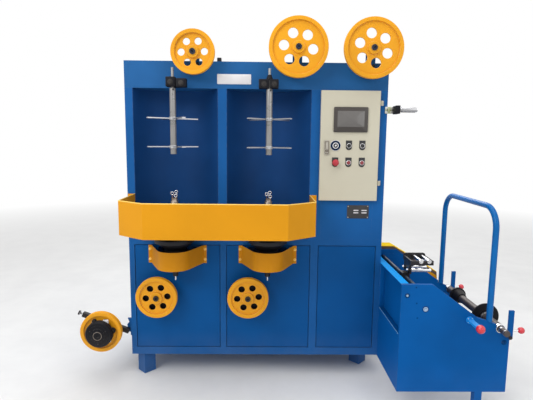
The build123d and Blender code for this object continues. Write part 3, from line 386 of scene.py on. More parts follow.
def start_group(name, inputs, outputs):
    """A node group with float inputs {name: value} and float outputs, and its end sockets."""
    group = bpy.data.node_groups.new(name, "ShaderNodeTree")
    for label, value in inputs.items():
        socket = group.interface.new_socket(label, in_out="INPUT", socket_type="NodeSocketFloat")
        socket.default_value = value
    for label in outputs:
        group.interface.new_socket(label, in_out="OUTPUT", socket_type="NodeSocketFloat")
    entry = group.nodes.new("NodeGroupInput")
    leave = group.nodes.new("NodeGroupOutput")
    return group, entry.outputs, leave.inputs, wired(group, "TexCoord", {}, "Object")


print("node helpers ready")

# %% Rubbed and lit edges: worn bare edges, and on the yellow paints a painted highlight
tree, given, out, place = start_group("rubbed_and_lit_edges", {"Width": 0.002, "Amount": 0.5}, ["Mask"])
rounded = wired(tree, "Bevel", {"Radius": given["Width"]}, samples=4)
surface = wired(tree, "NewGeometry", {}, "Normal")
agree = wired(tree, "VectorMath", {0: rounded, 1: surface}, "Value", operation="DOT_PRODUCT")
edge = remap(tree, agree, 0.99, 0.86)
patchy = remap(tree, noise(tree, place, 38.0, 4.0, 0.7), 0.42, 0.62)
tree.links.new(math_node(tree, "MULTIPLY", math_node(tree, "MULTIPLY", edge, patchy),
                         given["Amount"], clamp=True), out["Mask"])
print("effect:", tree.name)

# %% Dust that settles low down and on level faces
tree, given, out, place = start_group("settled_dust", {"Reach": 0.35, "Low": 0.5, "Level": 0.3},
                                      ["Mask"])
height = wired(tree, "SeparateXYZ", {0: place}, "Z")
near_floor = math_node(tree, "SUBTRACT", 1.0, math_node(tree, "DIVIDE", height, given["Reach"],
                                                        clamp=True))
surface = wired(tree, "NewGeometry", {}, "Normal")
level_face = remap(tree, wired(tree, "SeparateXYZ", {0: surface}, "Z"), 0.75, 0.98)
patchy = remap(tree, noise(tree, place, 7.0, 6.0, 0.65), 0.3, 0.75, 0.15, 1.0)
lying = math_node(tree, "ADD", math_node(tree, "MULTIPLY", near_floor, given["Low"]),
                  math_node(tree, "MULTIPLY", level_face, given["Level"]))
tree.links.new(math_node(tree, "MULTIPLY", patchy, lying, clamp=True), out["Mask"])
print("effect:", tree.name)

# %% Sprayed skin: the fine orange peel of machine paint
tree, given, out, place = start_group("sprayed_skin", {"Grain": 420.0}, ["Height", "Cloud"])
fine = math_node(tree, "MULTIPLY", noise(tree, place, given["Grain"], 2.0, 0.45), 0.35)
broad = noise(tree, place, 26.0, 3.0, 0.5)
tree.links.new(math_node(tree, "ADD", fine, broad), out["Height"])
tree.links.new(noise(tree, place, 2.3, 4.0, 0.55), out["Cloud"])
print("effect:", tree.name)

# %% Drawn lines: the fine parallel scratches of drawn or ground steel
tree, given, out, place = start_group(
    "drawn_lines", {"Along X": 900.0, "Along Y": 900.0, "Along Z": 8.0}, ["Height", "Cloud"])
ratio = wired(tree, "CombineXYZ", {axis: given["Along " + axis] for axis in "XYZ"})
scaled = wired(tree, "VectorMath", {0: place, 1: ratio}, "Vector", operation="MULTIPLY")
tree.links.new(noise(tree, scaled, 1.0, 3.0, 0.6), out["Height"])
tree.links.new(noise(tree, place, 14.0, 4.0, 0.6), out["Cloud"])
print("effect:", tree.name)

# %% Sand skin: the grainy face of a casting
tree, given, out, place = start_group("sand_skin", {"Grain": 520.0}, ["Height", "Cloud"])
tree.links.new(noise(tree, place, given["Grain"], 5.0, 0.7), out["Height"])
tree.links.new(noise(tree, place, 18.0, 4.0, 0.6), out["Cloud"])
print("effect:", tree.name, "of", len(bpy.data.node_groups))

# %% [markdown]
# ## Finishes
# A finish starts from its plain colour. A slow cloud makes it a little lighter and darker, dust
# greys it where it settles, and bare metal or primer shows at rubbed edges. On the yellow paints
# the edge colour is a paler yellow, a painted highlight along every edge. The cloud and the dust
# change the roughness too, because dust is dull. Finishes of one family share their skin and their
# edges, so each family is written once and its members give only what differs.

# %% One recipe for all finishes
DUST = (0.34, 0.31, 0.27)


def mixed(tree, factor, first, second):
    """A colour Mix node: first where the factor is 0, second where it is 1."""
    first, second = ((*value, 1.0) if isinstance(value, tuple) else value
                     for value in (first, second))
    return wired(tree, "Mix", {"Factor": factor, 6: first, 7: second}, 2, data_type="RGBA")


def effect(tree, name, values, output):
    """One output of a shared effect, set into a material with its own input values."""
    return wired(tree, "Group", values, output, node_tree=bpy.data.node_groups[name])


def finish(name, colour, rough, metal=0.0, skin="sprayed_skin", skin_values=None, bump=0.08,
           depth=0.0004, cloud=0.12, dust=(0.35, 0.25, 0.12), wear=(0.0015, 0.4),
           under=(0.25, 0.26, 0.28), coat=0.0, shine=0.5):
    """A finish from one plain colour, a skin, dust and an edge colour.

    Colour = colour * (1 +- cloud), then towards DUST by the dust mask, then towards the edge
    colour by the edge mask: bare metal or primer where paint is rubbed, and on the yellow paints a
    paler yellow that is a painted highlight. Roughness rises with dust and follows the cloud.
    """
    material = finishes[name] = bpy.data.materials.new(name)
    material.use_nodes = True
    material.diffuse_color = (*colour, 1.0)
    tree = material.node_tree
    slow = effect(tree, skin, skin_values or {}, "Cloud")
    dark = tuple(c * (1 - cloud) for c in colour)
    light = tuple(min(1.0, c * (1 + cloud)) for c in colour)
    shade = mixed(tree, remap(tree, slow, 0.35, 0.65), dark, light)
    dusty = effect(tree, "settled_dust", dict(zip(("Reach", "Low", "Level"), dust)), "Mask")
    shade = mixed(tree, dusty, shade, DUST)
    edge_mask = effect(tree, "rubbed_and_lit_edges", dict(zip(("Width", "Amount"), wear)), "Mask")
    shade = mixed(tree, edge_mask, shade, under)
    gloss = math_node(tree, "ADD", remap(tree, slow, 0.3, 0.7, rough * 0.85, rough * 1.15),
                      math_node(tree, "MULTIPLY", dusty, 0.35), clamp=True)
    relief = wired(tree, "Bump", {"Strength": bump, "Distance": depth,
                                  "Height": slow.node.outputs["Height"]}, "Normal")
    shader = tree.nodes["Principled BSDF"].inputs
    for label, source in (("Base Color", shade), ("Roughness", gloss), ("Normal", relief)):
        tree.links.new(source, shader[label])
    shader["Metallic"].default_value = metal
    shader["Specular IOR Level"].default_value = shine
    if coat:
        shader["Coat Weight"].default_value = coat
        shader["Coat Roughness"].default_value = 0.12


print("dust colour", DUST)

# %% Paint
LIGHT_DUST = (0.3, 0.2, 0.03)
sheet_paint = partial(finish, bump=0.22, dust=(0.30, 0.16, 0.035))
sheet_paint("cabinet_blue", (0.0060, 0.091, 0.298), 0.46, shine=0.14)
sheet_paint("header_blue", (0.0125, 0.098, 0.280), 0.46, shine=0.14)
# The lower panels get the cabinet's blue made darker for the guard's shadow on them: painted shade.
sheet_paint("panel_blue", (0.0012, 0.077, 0.270), 0.46, shine=0.10)
# The bay liners get the cabinet's blue made darker for the shade inside the recessed bays: painted
# shade.
sheet_paint("liner_blue", (0.0080, 0.053, 0.185), 0.50, shine=0.10)
sheet_paint("stand_blue", (0.0014, 0.088, 0.320), 0.44, shine=0.06, dust=(0.30, 0.06, 0.035))
# These thin strips carry painted light: the pale and bright colours are painted highlights, and the
# darkest blue is painted shade.
edge_paint = partial(finish, rough=0.50, bump=0.10, shine=0.01, dust=(0.3, 0.0, 0.0))
edge_paint("edge_pale", (0.16, 0.34, 0.56), cloud=0.08, wear=(0.0010, 0.1))
edge_paint("edge_blue", (0.010, 0.270, 0.700), cloud=0.05, wear=(0.0010, 0.1))
# This dark blue is painted shade: on the ledge, the latch bolt, the dark caps and the washer rings
# of the stand.
edge_paint("ledge_blue", (0.0008, 0.050, 0.185))
# The chain guard's lip is a much lighter copy of the guard's yellow for the sky on its top: a
# painted highlight.
edge_paint("lip_yellow", (1.0, 0.640, 0.005), cloud=0.05)
guard_paint = partial(finish, rough=0.44, bump=0.20, dust=LIGHT_DUST)
# On the guard, its covers, its hem and the pulleys, the pale yellow at the edges is a painted
# highlight, not bare metal.
guard_paint("guard_yellow", (0.67, 0.287, 0.006), cloud=0.05, under=(0.90, 0.62, 0.22),
            shine=0.14)
# The pulley covers get the guard's yellow made darker for the shade on their curves: painted shade.
guard_paint("cover_ochre", (0.59, 0.240, 0.006), cloud=0.09, under=(0.80, 0.52, 0.18),
            shine=0.12)
# The hem and the flange bolts get a lighter copy of the guard's yellow: a painted highlight.
finish("hem_yellow_painted_highlight", (0.95, 0.60, 0.12), 0.36, bump=0.10, cloud=0.05, dust=LIGHT_DUST,
       under=(0.95, 0.80, 0.45), shine=0.3)
# The pulleys' wide pale edges are a painted highlight along their rims and web.
finish("pulley_yellow", (0.74, 0.325, 0.012), 0.40, bump=0.30, depth=0.0006, cloud=0.10,
       dust=(0.35, 0.15, 0.04), wear=(0.0028, 0.85), under=(0.80, 0.58, 0.32), shine=0.20)
finish("door_beige", (0.530, 0.500, 0.395), 0.46, bump=0.3, cloud=0.04,
       skin_values={"Grain": 640.0}, dust=(0.35, 0.2, 0.06), under=(0.42, 0.41, 0.36), shine=0.3)
finish("hoop_blue", (0.0030, 0.118, 0.380), 0.30, bump=0.06, shine=0.14, dust=(0.30, 0.16, 0.0))
finish("lever_blue", (0.010, 0.250, 0.680), 0.40, bump=0.2, shine=0.06)
finish("black_paint", (0.012, 0.012, 0.015), 0.48, bump=0.3, shine=0.3)
print("paints:", len(finishes))

# %% Drawn and ground metal
drawn = partial(finish, skin="drawn_lines")
drawn_y = partial(drawn, skin_values={"Along Y": 8.0, "Along Z": 900.0})
drawn("black_steel", (0.026, 0.025, 0.027), 0.42, metal=0.5, bump=0.15, under=(0.30, 0.29, 0.28),
      shine=0.3)
drawn("bright_steel", (0.66, 0.66, 0.67), 0.22, metal=1.0, bump=0.10, wear=(0.001, 0.2),
      under=(0.85, 0.85, 0.85))
drawn("ground_steel", (0.42, 0.42, 0.43), 0.30, metal=1.0, bump=0.12, wear=(0.001, 0.2),
      under=(0.7, 0.7, 0.7))
drawn("tube_steel", (0.27, 0.265, 0.26), 0.30, metal=0.45, bump=0.015, cloud=0.05, shine=0.30,
      wear=(0.001, 0.0), skin_values={"Along X": 240.0, "Along Y": 240.0, "Along Z": 4.0})
drawn("chrome", (0.78, 0.78, 0.79), 0.10, metal=1.0, bump=0.03, cloud=0.03,
      dust=(0.35, 0.2, 0.03), under=(0.9, 0.9, 0.9))
drawn("plate_dark", (0.038, 0.037, 0.040), 0.36, metal=0.4, under=(0.45, 0.45, 0.45),
      skin_values={"Along X": 8.0, "Along Z": 900.0})
# The traverse rods and their thread are steel made dark and bluish for the shade inside the stand:
# painted shade.
drawn_y("thread_steel", (0.018, 0.034, 0.058), 0.42, metal=0.4, bump=0.12,
        under=(0.35, 0.30, 0.25))
drawn_y("dark_shaft", (0.080, 0.067, 0.065), 0.40, metal=0.6, bump=0.15, under=(0.36, 0.33, 0.30))
drawn_y("oiled_rod", (0.012, 0.030, 0.060), 0.34, metal=0.35, bump=0.12, under=(0.20, 0.21, 0.23))
print("with drawn metal:", len(finishes))

# %% Cast and plated metal
grainy = partial(finish, skin="sand_skin")
grainy("cast_black", (0.009, 0.009, 0.012), 0.46, metal=0.10, bump=0.4, depth=0.0008,
       wear=(0.0016, 0.55), under=(0.16, 0.15, 0.15), shine=0.12)
grainy("worn_steel", (0.30, 0.255, 0.215), 0.36, metal=0.9, bump=0.10, cloud=0.25,
       wear=(0.0008, 0.4), under=(0.62, 0.58, 0.52))
grainy("zinc", (0.50, 0.49, 0.46), 0.38, metal=0.9, bump=0.12, cloud=0.07,
       under=(0.70, 0.69, 0.66))
grainy("strap_zinc", (0.43, 0.46, 0.27), 0.36, metal=0.55, cloud=0.18, wear=(0.0010, 0.4),
       under=(0.62, 0.60, 0.45))
# The stand's panel bolts get a pale blue for the highlight on their heads: a painted highlight over
# the stand's blue paint.
grainy("bolt_blue", (0.34, 0.46, 0.62), 0.34, metal=0.4, cloud=0.15, wear=(0.0008, 0.4),
       under=(0.50, 0.56, 0.64))
grainy("bolt_zinc", (0.58, 0.57, 0.54), 0.30, metal=0.95, wear=(0.0006, 0.3),
       under=(0.8, 0.8, 0.78))
grainy("bolt_dark", (0.032, 0.029, 0.028), 0.42, metal=0.6, bump=0.1, cloud=0.15,
       wear=(0.0006, 0.4), under=(0.30, 0.28, 0.26))
grainy("key_brown", (0.11, 0.075, 0.055), 0.40, metal=0.3, wear=(0.0006, 0.3),
       under=(0.30, 0.25, 0.20))
print("with cast metal:", len(finishes))

# %% Plastic and plates
plastic = partial(grainy, bump=0.03, cloud=0.05, wear=(0.001, 0.0))
plastic("ball_red", (0.60, 0.018, 0.034), 0.24, bump=0.02, cloud=0.06, dust=(0.35, 0.15, 0.08),
        coat=0.5)
plastic("switch_red", (0.41, 0.022, 0.036), 0.32)
plastic("lens_red", (0.22, 0.022, 0.030), 0.20, coat=0.4)
plastic("switch_white", (0.72, 0.73, 0.74), 0.25, cloud=0.04)
plastic("screen_glass", (0.120, 0.112, 0.106), 0.22, bump=0.0, cloud=0.03, coat=0.2)
plastic("switch_black", (0.014, 0.014, 0.015), 0.36, bump=0.10, wear=(0.0006, 0.2),
        under=(0.10, 0.10, 0.10))
plastic("ring_blue", (0.004, 0.017, 0.050), 0.40, bump=0.05, wear=(0.0006, 0.1),
        under=(0.10, 0.14, 0.20), shine=0.08)
plastic("screen_rim", (0.040, 0.033, 0.029), 0.40, bump=0.08, cloud=0.04, wear=(0.0006, 0.2),
        under=(0.14, 0.14, 0.14))
plastic("lock_beige", (0.40, 0.375, 0.32), 0.40, bump=0.10, cloud=0.08, wear=(0.0008, 0.3),
        under=(0.5, 0.48, 0.44))
plastic("plate_white", (0.66, 0.65, 0.67), 0.36, bump=0.04, cloud=0.03, wear=(0.0006, 0.1),
        under=(0.5, 0.5, 0.5), coat=0.2)
print("with plastic:", len(finishes))

# %% [markdown]
# ## Finishes on the frame's own pieces
# Sheet metal, bars and brackets have their right shape already. They keep it, and only their
# finish is set.

# %% Give each node its finish
node_finish = {
    "cabinet_blue": "cabinet_base rear_housing cabinet_posts control_bay_rails cabinet_feet "
                    "entry_bracket top_pulley_brackets",
    "header_blue": "cabinet_header",
    "panel_blue": "lower_panels",
    "liner_blue": "bay_liners",
    "stand_blue": "stand_left_wall stand_near_panel stand_far_panel stand_feet near_latch "
                  "far_latch",
    "hoop_blue": "hoop",
    "guard_yellow": "guard_rail chain_guard",
    "cover_ochre": "pulley_guards",
    "pulley_yellow": "entry_pulley left_lower_pulley right_lower_pulley left_top_pulley "
                     "middle_top_pulley right_top_pulley",
    "door_beige": "control_door door_hinges",
    "lock_beige": "door_lock",
    "black_paint": "head_carriers tube_hangers",
    "black_steel": "left_spindle right_spindle left_tape_table right_tape_table "
                   "lower_pulley_studs entry_arm carriage latch_pins",
    "cast_black": "left_belt_pulley right_belt_pulley entry_brake shaft_bearings reel_cones",
    "chrome": "carriage_rollers",
    "tube_steel": "spare_tubes",
    "ground_steel": "cross_arms guide_roller",
    "dark_shaft": "reel_shaft",
    "oiled_rod": "traverse_rods",
    "zinc": "mounting_plate",
    "strap_zinc": "roller_bracket",
    "screen_rim": "screen_panel",
    "switch_red": "control_buttons",
    "ball_red": "near_latch_knob far_latch_knob lever_knob",
    "lever_blue": "lock_lever",
}
for paint, names in node_finish.items():
    for name in names.split():
        for slot in nodes[name].material_slots:
            slot.material = finishes[paint]
print("nodes with a finish:", sum(len(names.split()) for names in node_finish.values()))

# %% [markdown]
# ## Guide pulleys
# A guide pulley is a casting: a grooved rim, a thin web with six round holes and a hub. The rim
# and the hub are turned from round-cornered profiles. The web is harder, because a plain turned
# disc has no holes. So the web is cut into six equal slices with a hole in the middle of each, and
# each slice is a grid that runs from the hole's edge out to the slice's outline.

# %% Web with holes
HOLES = 6


def pierced_web(centre, hub, rim, orbit, hole, thick, first_turn, columns=48, lip=0.0012):
    """The slices of a disc with round holes, for an axle along Y.

    A direction t leaves the unit square at q = (cos t, sin t) / max(|cos t|, |sin t|). The
    square is wrapped onto the slice: its sides are half a slice of angle, and its bottom and top
    are the hub's and the rim's radius. The grid's rows go from that outline over the front face
    to the hole, through the hole, and back over the rear face.
    """
    t = np.linspace(0, 2 * np.pi, columns, endpoint=False)
    q = np.stack([np.cos(t), np.sin(t)]) / np.maximum(abs(np.cos(t)), abs(np.sin(t)))
    reach = np.where(q[1] > 0, orbit + q[1] * (rim - orbit), orbit + q[1] * (orbit - hub))
    swing = q[0] * np.pi / HOLES
    outline = np.stack([reach * np.cos(swing), reach * np.sin(swing)], axis=1)
    aim = outline - np.array([orbit, 0])
    aim /= np.linalg.norm(aim, axis=1)[:, None]
    edge = np.array([orbit, 0]) + aim * hole
    wide = np.array([orbit, 0]) + aim * (hole + lip)
    half = thick / 2
    rows = [(outline, -half), (wide, -half), (edge, lip - half), (edge, half - lip),
            (wide, half), (outline, half)]
    across, along, deep = np.stack([np.column_stack([flat, np.full(columns, depth)])
                                    for flat, depth in rows]).transpose(2, 0, 1)
    shells = []
    for a in first_turn + 2 * np.pi / HOLES * np.arange(HOLES):
        x = across * np.cos(a) - along * np.sin(a)
        z = across * np.sin(a) + along * np.cos(a)
        shells.append((np.stack([x, deep, z], axis=-1) + centre, grid_faces(len(rows), columns)))
    return shells


print("slices of a web:", HOLES)

# %% Rim, web and hub
RIM_WIDE, RIM_DEEP, GROOVE, WEB, HUB, AXLE_BORE = 0.032, 0.022, 0.007, 0.009, 0.034, 0.0121
LARGE_R = 0.15
first_holes = {"entry_pulley": 5.0, "left_lower_pulley": 5.7, "right_lower_pulley": 5.7,
               "left_top_pulley": 2.0, "middle_top_pulley": -7.2, "right_top_pulley": 40.5}
for name, first_hole in first_holes.items():
    centre, (wide, hub_long, _) = middle(name), extent(name)
    R, half = wide / 2, RIM_WIDE / 2
    orbit, hole = (0.084, 0.029) if R > LARGE_R else (0.066, 0.020)
    rim = [(R - RIM_DEEP, -half), (R, -half), (R, 0.0025 - half), (R - GROOVE, -0.003),
           (R - GROOVE, 0.003), (R, half - 0.0025), (R, half), (R - RIM_DEEP, half)]
    boss = [(AXLE_BORE, -hub_long / 2), (HUB, -hub_long / 2), (HUB + 0.004, -WEB / 2),
            (HUB + 0.004, WEB / 2), (HUB, hub_long / 2), (AXLE_BORE, hub_long / 2)]
    shells = [hollow(rim, centre, BACK, 128, 0.0022), hollow(boss, centre, BACK, 64, 0.0018)]
    shells += pierced_web(centre, HUB, R - RIM_DEEP + 0.003, orbit, hole, WEB,
                          math.radians(first_hole))
    pulley = add_piece(name + "_cast", shells, "pulley_yellow", name)
    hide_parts(name)
print("pulleys:", len(first_holes))

# %% [markdown]
# ## Balls, hoop and shaft
# The red balls, the bent hoop and the reel shaft catch long highlights, and a highlight shows every
# flat facet. So they are made again with many more steps round them, on the same lines.

# %% Red balls on the latches and the lever


def ball(centre, radius, axis, flat=0.93):
    """A ball knob: a circle's arc turned about its stem, cut flat at its foot."""
    s = np.linspace(-math.acos(1 - flat) + 0.12, np.pi / 2, 22)
    arc = [(0.0, radius * math.sin(s[0]))] + [(radius * math.cos(a), radius * math.sin(a))
                                             for a in s]
    return turned(arc, centre, axis, 48)


for name, body, axis in (("near_latch_knob", "near_latch", RIGHT),
                         ("far_latch_knob", "far_latch", RIGHT), ("lever_knob", "machine", FRONT)):
    radius = extent(name)[2] / 2
    low, high = low_high(name)
    crown = np.where(np.array(axis) > 0, high, low)
    core = np.where(np.array(axis) != 0, crown - radius * np.array(axis), (low + high) / 2)
    knob = add_piece(name + "_ball", [ball(core, radius, axis)], "ball_red", body, 60.0)
    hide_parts(name)
print("balls: 3")

# %% Bent tubes


def tube(route, radius, segments):
    """A round tube along a route of points.

    At each point the two square directions are carried on from the last one by removing what
    lies along the route, so the tube doesn't twist.
    """
    route = np.asarray(route, float)
    along = np.gradient(route, axis=0)
    along /= np.linalg.norm(along, axis=1)[:, None]
    side = frame_of(along[0])[0]
    sides = []
    for direction in along:
        side = side - direction * side.dot(direction)
        side /= np.linalg.norm(side)
        sides.append(side)
    sides = np.array(sides)
    others = np.cross(along, sides)
    t = np.linspace(0, 2 * np.pi, segments, endpoint=False)
    rings = route[:, None] + radius * (np.cos(t)[None, :, None] * sides[:, None]
                                       + np.sin(t)[None, :, None] * others[:, None])
    return stacked(rings)


def bent_route(corners, radius, steps=14):
    """A path of straight runs joined by arcs that touch them, as a pipe bender leaves it."""
    corners = np.array(corners, float)
    path = [corners[:1]]
    for before, here, after in zip(corners, corners[1:], corners[2:]):
        a, b = before - here, after - here
        a, b = a / np.linalg.norm(a), b / np.linalg.norm(b)
        half = math.acos(np.clip(a.dot(b), -1, 1)) / 2
        core = here + (a + b) / np.linalg.norm(a + b) * radius / math.sin(half)
        u, v = (here + side * radius / math.tan(half) - core for side in (a, b))
        span = math.acos(np.clip(u.dot(v) / radius ** 2, -1, 1))
        s = np.linspace(0, span, steps)[:, None]
        path.append(core + np.cos(s) * u + np.sin(s) * (v - u * math.cos(span)) / math.sin(span))
    path.append(corners[-1:])
    return np.concatenate(path)


print("points of one bend:", len(bent_route([(0, 0, 0), (0, 0, 1), (0, 1, 1)], 0.1)) - 2)

# %% Hoop
HOOP_R, HOOP_BEND = 0.016, 0.115
EDGE_FALL, EDGE_RUN = 0.036, 0.106
low, high = low_high("hoop")
near_y, far_y, top_z = low[1] + HOOP_R, high[1] - HOOP_R, high[2] - HOOP_R
hoop_x = (low[0] + high[0]) / 2
foot_z = low[2] + EDGE_FALL / EDGE_RUN * HOOP_R
route = bent_route([(hoop_x, near_y, foot_z), (hoop_x, near_y, top_z), (hoop_x, far_y, top_z),
                    (hoop_x, far_y, foot_z)], HOOP_BEND)
points, faces = tube(route, HOOP_R, 40)
for row in (0, 1, -2, -1):  # both feet are cut along the slope that they stand on
    points[row, :, 2] -= EDGE_FALL / EDGE_RUN * (points[row, :, 0] - hoop_x)
hoop = add_piece("bent_hoop", [(points, faces)], "hoop_blue")
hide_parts("hoop")
print("hoop pipe", round(float(np.linalg.norm(np.diff(route, axis=0), axis=1).sum()), 3), "m")

# %% [markdown]
# ## Shafts, rollers and the screw
# Turned steel shows its steps: shoulders, collars and chamfers. The traverse screw has a real
# thread, which is one ridge wound round the rod.

# %% Reel shaft


def y_axis_point(node):
    """The point on a node's Y axle at depth zero."""
    x, _, z = middle(node)
    return np.array((x, 0.0, z))


JOURNAL_R, FACE_GAP = 0.017, 0.005
SHAFT_R = extent("reel_shaft")[0] / 2
shaft_axis = y_axis_point("reel_shaft")
shaft_near, shaft_far = (corner[1] for corner in low_high("reel_shaft"))
body_near = low_high("stand_near_panel")[1][1] + FACE_GAP
body_far = low_high("stand_far_panel")[0][1] - FACE_GAP
journal = [(0.0, shaft_near), (JOURNAL_R, shaft_near), (JOURNAL_R, body_near),
           (SHAFT_R, body_near), (SHAFT_R, body_far), (JOURNAL_R, body_far),
           (JOURNAL_R, shaft_far), (0.0, shaft_far)]
shaft = add_piece("turned_shaft", [turned(journal, shaft_axis, BACK, 64, 0.0012)], "dark_shaft",
                  "reel_shaft")
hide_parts("reel_shaft")
grooves = [hollow(band(0.006, JOURNAL_R + 0.0003, a, b), shaft_axis, BACK, 48, 0.0008)
           for a, b in ((shaft_near + 0.010, shaft_near + 0.016),
                        (shaft_near + 0.046, shaft_near + 0.058),
                        (shaft_far - 0.016, shaft_far - 0.010))]
add_piece("journal_rings", grooves, "ground_steel", "reel_shaft")
print("journal rings:", len(grooves))

# %% Guide roller
ROLLER_R, ROLLER_BORE, END_DEEP = extent("guide_roller")[2] / 2, 0.0061, 0.003
a, b = (corner[0] for corner in low_high("guide_roller"))
outline = [(ROLLER_BORE, a), (ROLLER_R - END_DEEP, a), (ROLLER_R - END_DEEP, a + 0.008),
           (ROLLER_R, a + 0.009), (ROLLER_R, b - 0.009), (ROLLER_R - END_DEEP, b - 0.008),
           (ROLLER_R - END_DEEP, b), (ROLLER_BORE, b)]
core = middle("guide_roller") * (0, 1, 1)
roller = add_piece("turned_roller", [hollow(outline, core, RIGHT, 48, 0.0008)], "ground_steel",
                   "guide_roller")
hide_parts("guide_roller")
print("roller radius", round(float(ROLLER_R), 4))

# %% Threaded traverse screw


def thread(centre, start, end, core_radius, ridge, pitch, columns=20):
    """One ridge wound along a rod that lies along Y.

    The surface point at turn angle a and profile step k has radius core + ridge * shape_k and
    depth start + pitch * a / (2 pi) + step_k, so the profile climbs one pitch in each turn.
    """
    turns = (end - start) / pitch
    a = np.linspace(0, 2 * np.pi * turns, int(turns * columns))
    shape = np.array([(0.0, -0.42), (1.0, -0.12), (1.0, 0.12), (0.0, 0.42)])
    radius = core_radius + ridge * shape[:, 0][:, None]
    depth = np.clip(start + pitch * a / (2 * np.pi) + pitch * shape[:, 1][:, None], start, end)
    x = centre[0] + radius * np.cos(a)
    z = centre[2] + radius * np.sin(a)
    points = np.stack([x, depth, z], axis=-1)
    return points, grid_faces(len(shape), len(a), wrap_rows=True, wrap_columns=False)


low, high = low_high("traverse_rods")
ROD_R, RIDGE, PITCH = (high[0] - low[0]) / 2, 0.0011, 0.006
screw_at = ((low[0] + high[0]) / 2, 0.0, high[2] - ROD_R)
screw = add_piece("screw_thread", [thread(screw_at, low[1] + 0.001, high[1] - 0.001,
                                          ROD_R - 0.0006, RIDGE, PITCH)],
                  "thread_steel", sharp=60.0)
print("thread faces", len(screw.data.polygons))

# %% [markdown]
# ## Brake of the entry pulley
# The black brake in front of the entry pulley is a ribbed casting: a stepped dome with cooling
# ribs round it, two lugs for its bolts and a capped hub.

# %% Ribbed brake
brake_axis = y_axis_point("entry_pulley")
front, back = (corner[1] for corner in low_high("entry_brake"))
BRAKE_R, RIB_PITCH = 0.081, 0.0056


def about_brake(orbit, degrees, depth):
    """The place at an orbit and an angle round the brake's axis."""
    a = math.radians(degrees)
    return brake_axis + (orbit * math.cos(a), depth, orbit * math.sin(a))


dome = [(0.0, back), (0.020, back), (0.020, back - 0.002), (BRAKE_R, back - 0.002),
        (BRAKE_R, back - 0.009)]
for top in back - 0.009 - RIB_PITCH * np.arange(4):
    dome += [(BRAKE_R - 0.0022, top - 0.0006), (BRAKE_R - 0.0022, top - 0.0024),
             (BRAKE_R, top - 0.0030), (BRAKE_R, top - RIB_PITCH)]
dome += [(BRAKE_R - 0.007, back - 0.040), (0.062, back - 0.0405), (0.062, back - 0.044),
         (0.044, back - 0.0445), (0.044, back - 0.048), (0.027, back - 0.0485),
         (0.027, front), (0.010, front), (0.009, front + 0.004), (0.0, front + 0.004)]
lug_front = back - 0.0138
lugs = [(about_brake(orbit, degrees, 0.0), radius)
        for orbit, degrees, radius in ((0.080, 13.0, 0.0190), (0.082, 111.0, 0.0138))]
shells = [turned(dome, brake_axis, BACK, 96, 0.0006)]
shells += [turned([(0, back - 0.002), (radius, back - 0.002), (radius, lug_front),
                   (0, lug_front)], spot, BACK, 32, 0.001) for spot, radius in lugs]
brake = add_piece("ribbed_brake", shells, "cast_black")
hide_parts("entry_brake")
print("ribs and lugs:", 4 + len(lugs))

# %% Small things on the brake
add_piece("brake_bolts", bolts([spot + (0, lug_front, 0) for spot, _ in lugs], 0.010, 0.005),
          "bolt_dark")
add_piece("brake_screws", caps([about_brake(0.053, a, back - 0.0442) for a in (30, 150, 270)],
                               0.0040, 0.0020), "bolt_dark")
fins = [plate(about_brake(0.0360, turn, back - 0.0440), 0.0150, 0.0030, 0.0042, 0.0010, 0.0006,
              (math.cos(a), 0, math.sin(a)), (-math.sin(a), 0, math.cos(a)))
        for turn in range(0, 360, 30) for a in [math.radians(turn)]]
add_piece("brake_fins", fins, "bolt_dark")
# The raised ring's pale worn steel is a painted highlight for a glint on the hub.
add_piece("brake_hub_ring", [hollow(band(0.0235, 0.0262, 0, 0.0008), brake_axis
                                    + (0, front + 0.0004, 0), FRONT, 64, 0.0003)], "worn_steel")
add_piece("brake_stop", [plate(brake_axis + (0.037, back - 0.002, 0.072), 0.032, 0.025, 0.004,
                               0.003, 0.0008)], "plate_white")
print("brake fins:", len(fins))

# %% [markdown]
# ## Control door
# The door carries a touch screen and six switches. The screen is a dark bezel with round corners
# round a grey glass. The key switch is a blue collar between two white rings. The other five stand
# on black plates with a round lower end: a red mushroom, and in steel rings two selectors and two
# red push buttons. Left of them is the lock, a brown frame round a pale handle.

# %% Screen
door_face = low_high("screen_panel")[1][1]
(screen_x, _, screen_z), (wide, thick, tall) = middle("screen_panel"), extent("screen_panel")
bezel = add_piece("screen_bezel", [plate((screen_x, door_face, screen_z), wide, tall, thick, 0.006,
                                         0.0016)], "screen_rim", "control_door")
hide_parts("screen_panel")
add_piece("screen_window", [plate((screen_x, door_face - thick + 0.0002, screen_z + 0.004),
                                  wide - 0.042, tall - 0.054, 0.0006, 0.001, 0.0003)],
          "screen_glass", "control_door")
print("screen", round(float(wide), 3), "by", round(float(tall), 3), "m")

# %% Shapes of the switches


def on_door(profile, x, z, start=0.0, segments=48, bend=0.0006, closed=False):
    """A turned piece standing out of the door, its foot at a start height over the door."""
    return turned(profile, (x, door_face - start, z), FRONT, segments, bend, closed)


def lifted(flat, x, z, steps):
    """A flat outline stacked out of the door: each step is its scale and its height."""
    return stacked([np.column_stack([x + flat[:, 0] * scale,
                                     np.full(len(flat), door_face - rise),
                                     z + flat[:, 1] * scale]) for scale, rise in steps])


def legend(x, z):
    """A switch's plate: straight at the top and half round at the bottom, with a bevel."""
    t = np.linspace(np.pi, 2 * np.pi, 25)
    flat = np.concatenate([np.stack([np.cos(t), np.sin(t)], axis=1) * 0.0185 - (0, 0.0075),
                           [(0.0185, 0.031), (-0.0185, 0.031)]])
    flat = round_corners(flat, 0.002, 3, closed=True)
    core = flat.mean(axis=0)
    return lifted(flat - core, x + core[0], z + core[1], ((1, 0), (1, 0.0017), (0.975, 0.0022)))


